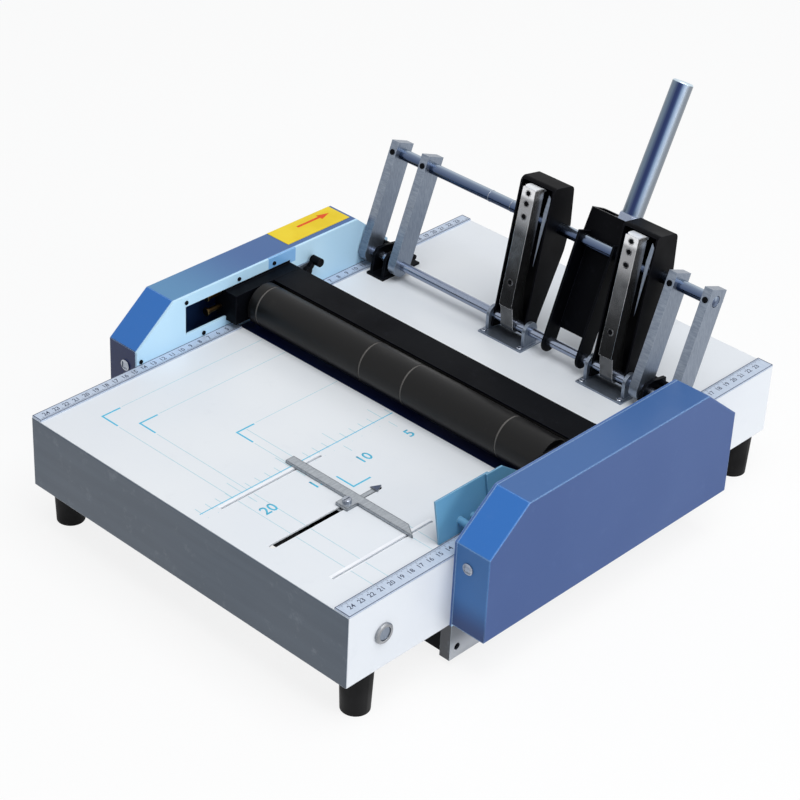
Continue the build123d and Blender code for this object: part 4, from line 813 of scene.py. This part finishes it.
screwLook = {"sides": 28, "wall": 0.6, "rim": 0.25, "domes": (0.25, 0.15), "crossWidth": 0.32,
             "crossReach": 0.62, "crossDepth": 0.55}  # shares of the head's radius and height
coverScrews = {"radius": 4.8, "height": 1.8, "x": 187.5, "front": (-142.8, -3.5), "rear": (145.3, -35.0)}
plateScrews = {"radius": 1.8, "height": 1.4, "x": 173.3,
               "spots": ((-138.9, 4.2), (-89.8, 39.8), (-71.2, 4.2), (-31.9, 39.8), (7.9, 39.8))}
guideScrew = {"radius": 3.4, "height": 2.2, "x": 155.4, "spot": (-117.8, 10.5)}


def crossCutter(radius, height):
    width = radius * screwLook["crossWidth"] * mm
    reach = radius * screwLook["crossReach"] * mm - width / 2
    bpy.ops.mesh.primitive_cube_add(size=1, location=(0, 0, height * mm))
    cutter = bpy.context.object
    cutter.scale = (width, width, 2 * height * screwLook["crossDepth"] * mm)
    settle(cutter)
    for outward in map(Vector, ((1, 0, 0), (-1, 0, 0), (0, 1, 0), (0, -1, 0))):
        edit(cutter, "FACE", lambda face: face.normal.dot(outward) > aligned
             and abs(face.center.dot(outward) - width / 2) < width * 0.1)
        bpy.ops.mesh.extrude_region_move(TRANSFORM_OT_translate={"value": outward * reach})
        closeEdit()
    return cutter


def liftTop(head, inset, lift):  # draws a smaller top face up out of a round head
    edit(head, "FACE", lambda face: face.normal.z > aligned and len(face.vertices) > 4)
    bpy.ops.mesh.inset(thickness=inset * mm)
    bpy.ops.transform.translate(value=(0, 0, lift * mm))
    closeEdit()


def screwHead(look):  # a domed head that stands on z = 0
    radius, height = look["radius"], look["height"]
    bpy.ops.mesh.primitive_cylinder_add(vertices=screwLook["sides"], radius=radius * mm,
                                        depth=height * screwLook["wall"] * mm,
                                        location=(0, 0, height * screwLook["wall"] / 2 * mm))
    head = settle(bpy.context.object)
    for share in screwLook["domes"]:
        liftTop(head, radius * screwLook["rim"], height * share)
    cutter = crossCutter(radius, height)
    modify(head, "BOOLEAN", operation="DIFFERENCE", object=cutter, solver="EXACT")
    bpy.data.objects.remove(cutter)
    return recalculate(head)


def facing(spot, direction):  # puts a piece that stands on z = 0 on a wall
    return Matrix.Translation(spot) @ Vector(direction).to_track_quat("Z", "Y").to_matrix().to_4x4()


def coverScrewHeads():
    look = coverScrews
    ends = (look["front"], -1), (look["rear"], 1)
    return copiesOf(screwHead(look), [facing(onTable(side * look["x"], y, z), (0, outward, 0))
                                      for side in (-1, 1) for (y, z), outward in ends])


def guideScrewHead():
    lean = Matrix.Translation(onTable(guideScrew["x"], 0)) @ Matrix.Rotation(math.radians(-guideLean), 4, "Y")
    y, z = guideScrew["spot"]
    spot = Matrix.Translation((0, y * mm, z * mm))
    return settle(screwHead(guideScrew), lean @ spot @ facing((0, 0, 0), (-1, 0, 0)))


def plateScrewHeads():
    look = plateScrews
    return copiesOf(screwHead(look), [facing(onTable(side * look["x"], y, z), (-side, 0, 0))
                                      for side in (-1, 1) for y, z in look["spots"]])


brightScrews = finishPiece("cover_screw_heads", [*coverScrewHeads(), guideScrewHead()], "chrome", "chassis",
                           smooth=30)
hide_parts("chassis_screws")
darkScrews = finishPiece("plate_screw_heads", plateScrewHeads(), "blackPaint", "chassis", smooth=30)
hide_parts("chassis_screws")
print("screws fitted")


# Dark pointer on the tongue of the paper stop

pointerLook = {"x": 75.6, "base": -125.2, "tip": -117.7, "width": 7.4, "top": 1.3, "ink": 0.05}


def stopPointer():
    look = pointerLook
    pointer = triangle(look["x"], look["tip"], look["tip"] - look["base"], look["width"], look["top"])
    return thicken([pointer], look["ink"])


finishPiece("stop_pointer_mark", [stopPointer()], "darkInk", "stop")


# Rings on the cross rod and button heads on the back of the lever bars

rodLook = {"rings": ((-62.0, 3.0), (-38.0, 1.4)), "radius": 5.0, "ring": 0.3}
barHeadLook = {"x": (168.0, 133.0), "reach": 89.0, "rear": 10.0, "radius": 3.6, "height": 2.4, "wall": 0.5,
               "steps": ((0.3, 0.3), (0.3, 0.2), (0.06, -0.35))}  # insets and lifts, as shares


def rodRing(x, width):
    look = rodLook
    bpy.ops.mesh.primitive_torus_add(major_segments=48, minor_segments=10, major_radius=look["radius"] * mm,
                                     minor_radius=look["ring"] * mm, rotation=(0, math.pi / 2, 0))
    ring = bpy.context.object
    ring.scale = (1, 1, width / look["ring"] / 2)
    return settle(ring, Matrix.Translation((x * mm, rodMiddle.y, rodMiddle.z)))


def barHead():  # a button head standing on z = 0
    radius, height = barHeadLook["radius"], barHeadLook["height"]
    depth = height * barHeadLook["wall"] * mm
    bpy.ops.mesh.primitive_cylinder_add(vertices=32, radius=radius * mm, depth=depth,
                                        location=(0, 0, depth / 2))
    head = settle(bpy.context.object)
    for inset, lift in barHeadLook["steps"]:
        liftTop(head, radius * inset, height * lift)
    return head


def barHeads():
    look = barHeadLook
    lean = leaning(leverLean, Vector((0, pivot.y, pivot.z)))
    rear, reach = look["rear"] * mm, look["reach"] * mm
    return copiesOf(barHead(), [lean @ facing((side * x * mm, rear, reach), (0, 1, 0))
                                for side in (-1, 1) for x in look["x"]])


rodRings = [rodRing(x, width) for x, width in rodLook["rings"]]
finishPiece("rod_rings", rodRings, "chrome", "lever", smooth=40)
finishPiece("bar_button_heads", barHeads(), "chrome", "lever", smooth=30)
print("lever fittings made")


# Trim of the stapler heads: hole rings, top clip, side blade and base screws

headLook = {"front": 13.6, "holes": (38.0, 96.0, 107.0, 116.0), "ringOut": 3.1, "ringIn": 2.1,
            "ringHeight": 0.15, "shadeHeight": 0.08, "clipWidth": 13.0, "clipSheet": 0.6,
            "clip": ((-13.2, 120.2), (-9.0, 121.0), (-4.0, 121.0), (0.5, 119.4), (2.0, 116.5)),
            "near": 0.05, "bladeY": 2.0, "bladeSheet": 0.9, "bladeBevel": 0.25,
            "blade": ((8.0, 52.0), (12.5, 112.0), (9.5, 116.0), (7.6, 100.0))}
baseScrew = {"radius": 2.4, "height": 1.5, "x": 19.6, "y": 106.7, "z": 1.5}
heads = {"left_head": "left_magazine", "right_head": "right_magazine"}


def holeRing():  # a thin washer on z = 0
    look = headLook
    bpy.ops.mesh.primitive_circle_add(vertices=32, radius=look["ringIn"] * mm, fill_type="NOTHING")
    ring = bpy.context.object
    edit(ring, "VERT")
    bpy.ops.mesh.extrude_edges_move()
    growth = look["ringOut"] / look["ringIn"]
    bpy.ops.transform.resize(value=(growth, growth, 1))
    closeEdit()
    return recalculate(modify(ring, "SOLIDIFY", thickness=look["ringHeight"] * mm, offset=1.0))


def holeShade():  # a dark disc that widens the drilled hole
    bpy.ops.mesh.primitive_circle_add(vertices=32, radius=headLook["ringIn"] * mm, fill_type="NGON")
    shade = bpy.context.object
    return recalculate(modify(shade, "SOLIDIFY", thickness=headLook["shadeHeight"] * mm, offset=1.0))


def drawOut(piece, old, new):  # draws out the edge of a bent sheet that lies at old
    start, end = (Vector((y * mm, z * mm)) for y, z in (old, new))
    edit(piece, "VERT", lambda corner: (corner.co.yz - start).length < headLook["near"] * mm)
    bpy.ops.mesh.extrude_edges_move(TRANSFORM_OT_translate={"value": (0, *(end - start))})
    closeEdit()


def topClip():  # a bright strip bent over the magazine's end, across x = 0
    look = headLook
    start, second = (Vector((0, y * mm, z * mm)) for y, z in look["clip"][:2])
    bpy.ops.mesh.primitive_plane_add(size=1)
    clip = bpy.context.object
    along = second - start
    clip.scale = (look["clipWidth"] * mm, along.length, 1)
    clip.rotation_euler = (math.atan2(along.z, along.y), 0, 0)
    clip.location = (start + second) / 2
    settle(clip)
    for old, new in zip(look["clip"][1:], look["clip"][2:]):
        drawOut(clip, old, new)
    modify(clip, "SUBSURF", levels=2, render_levels=2)
    modify(clip, "SOLIDIFY", thickness=look["clipSheet"] * mm, offset=0.0)
    return recalculate(clip)


def sideBlade():  # the steel blade beside the magazine, facing the front
    look = headLook
    points = look["blade"]
    bpy.ops.mesh.primitive_circle_add(vertices=len(points), radius=10 * mm, fill_type="NGON",
                                      rotation=(math.pi / 2, 0, 0))
    blade = settle(bpy.context.object)
    for index, (x, z) in enumerate(points):
        step = Vector((x * mm, look["bladeY"] * mm, z * mm)) - blade.data.vertices[index].co
        edit(blade, "VERT", lambda corner: corner.index == index)
        bpy.ops.transform.translate(value=step)
        closeEdit()
    modify(blade, "SOLIDIFY", thickness=look["bladeSheet"] * mm, offset=0.0)
    modify(blade, "BEVEL", width=look["bladeBevel"] * mm, segments=2)
    return recalculate(blade)


def onMagazine(magazine):  # the head's frame at the middle of its magazine
    middle = sum(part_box(magazine), Vector()) / 2
    return leaning(headLean, Vector((middle.x, pivot.y, pivot.z)))


def atHole(height):
    return facing((0, -headLook["front"] * mm, height * mm), (0, -1, 0))


ring, shade, clip, blade = holeRing(), holeShade(), topClip(), sideBlade()
screw = screwHead(baseScrew)
for body, magazine in heads.items():
    spot = onMagazine(magazine)
    side = body.split("_")[0]
    rings = [copyOf(ring, spot @ atHole(height)) for height in headLook["holes"]]
    shades = [copyOf(shade, spot @ atHole(height)) for height in headLook["holes"]]
    finishPiece(side + "_magazine_rings", rings, "brightRing", body)
    finishPiece(side + "_magazine_hole_shades", shades, "black", body)
    finishPiece(side + "_magazine_clip", [copyOf(clip, spot)], "brightRing", body, smooth=40)
    finishPiece(side + "_head_blade", [copyOf(blade, spot)], "ruler", "lever")
    centre = spot.translation.x / mm
    places = [onTable(centre + end * baseScrew["x"], baseScrew["y"], baseScrew["z"]) for end in (-1, 1)]
    screws = [copyOf(screw, Matrix.Translation(place)) for place in places]
    finishPiece(side + "_base_screws", screws, "chrome", "chassis", smooth=30)
for model in (ring, shade, clip, blade, screw):
    bpy.data.objects.remove(model)
print("stapler heads trimmed")


# Floor, sky, lamps and camera

studioLook = {"floorSize": 14.0, "floorGrain": 3.0, "floorColour": colourOf(238, 239, 241),
              "floorShade": colourOf(242, 243, 244), "glowShare": 0.86, "glow": 0.99, "ambient": 0.4,
              "ambientColour": (0.94, 0.97, 1.0, 1.0), "sky": 0.96}
lampLooks = {
    "keyLamp": {"place": (0.9, -0.1, 2.7), "size": 2.2, "power": 62.0, "colour": (1.0, 0.99, 0.97)},
    "sideLamp": {"place": (3.0, 0.5, 0.9), "size": 1.6, "power": 32.0, "colour": (1.0, 0.99, 0.98)},
}
cameraLook = {"azimuth": 42.273, "elevation": 32.591, "roll": 2.908, "lens": 107.214, "sensor": 36.0,
              "place": (1.07227, -1.19476, 1.11706), "clip": (0.05, 50.0)}


def floorFinish():
    paint = newPaint("paleFloor")
    look = studioLook
    grain = paint.noise(paint.place(), look["floorGrain"], detail=3.0)
    colour = paint.mix(grain, look["floorColour"], look["floorShade"])
    matt = paint.node("BsdfDiffuse", inputs={"Color": colour})
    glow = paint.node("Emission", inputs={"Color": (1, 1, 1, 1), "Strength": look["glow"]})
    share = paint.seenRays() * look["glowShare"]
    mixed = paint.node("MixShader", inputs={0: share, 1: matt, 2: glow})
    paint.node("OutputMaterial", inputs={"Surface": mixed})
    return paint.owner


def makeFloor():
    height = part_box("rubber_feet")[0].z
    bpy.ops.mesh.primitive_plane_add(size=studioLook["floorSize"], location=(0, 0, height))
    floor = bpy.context.object
    floor.name = "studioFloor"
    floor.data.materials.append(floorFinish())


def makeSky():
    world = bpy.data.worlds.new("studioSky")
    bpy.context.scene.world = world
    paint = Paint(world)
    look = studioLook
    ambient = paint.node("Background", inputs={"Color": look["ambientColour"], "Strength": look["ambient"]})
    backdrop = paint.node("Background", inputs={"Color": (1, 1, 1, 1), "Strength": look["sky"]})
    mixed = paint.node("MixShader", inputs={0: paint.seenRays(), 1: ambient, 2: backdrop})
    paint.node("OutputWorld", inputs={"Surface": mixed})


def makeLamps():
    aim = (cadBounds[0] + cadBounds[1]) / 2
    for name, look in lampLooks.items():
        bpy.ops.object.light_add(type="AREA", location=look["place"])
        lamp = bpy.context.object
        lamp.name = name
        lamp.data.shape = "SQUARE"
        lamp.data.size = look["size"]
        lamp.data.energy = look["power"]
        lamp.data.color = look["colour"]
        lamp.rotation_euler = (aim - lamp.location).to_track_quat("-Z", "Y").to_euler()


def makeCamera():
    azimuth, elevation, roll = (math.radians(cameraLook[key]) for key in ("azimuth", "elevation", "roll"))
    level = math.cos(elevation)
    back = Vector((math.sin(azimuth) * level, -math.cos(azimuth) * level, math.sin(elevation)))
    right = Vector((0, 0, 1)).cross(back).normalized()
    up = back.cross(right)
    side = right * math.cos(roll) + up * math.sin(roll)
    top = up * math.cos(roll) - right * math.sin(roll)
    bpy.ops.object.camera_add(location=cameraLook["place"])
    camera = bpy.context.object
    camera.name = "photoCamera"
    camera.rotation_euler = Matrix((side, top, back)).transposed().to_euler()
    camera.data.sensor_width = cameraLook["sensor"]
    camera.data.lens = cameraLook["lens"]
    camera.data.clip_start, camera.data.clip_end = cameraLook["clip"]
    bpy.context.scene.camera = camera


deselect()
makeFloor()
makeSky()
makeLamps()
makeCamera()
bpy.context.scene.view_settings.view_transform = "Standard"
print("studio ready")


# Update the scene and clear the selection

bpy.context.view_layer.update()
deselect()
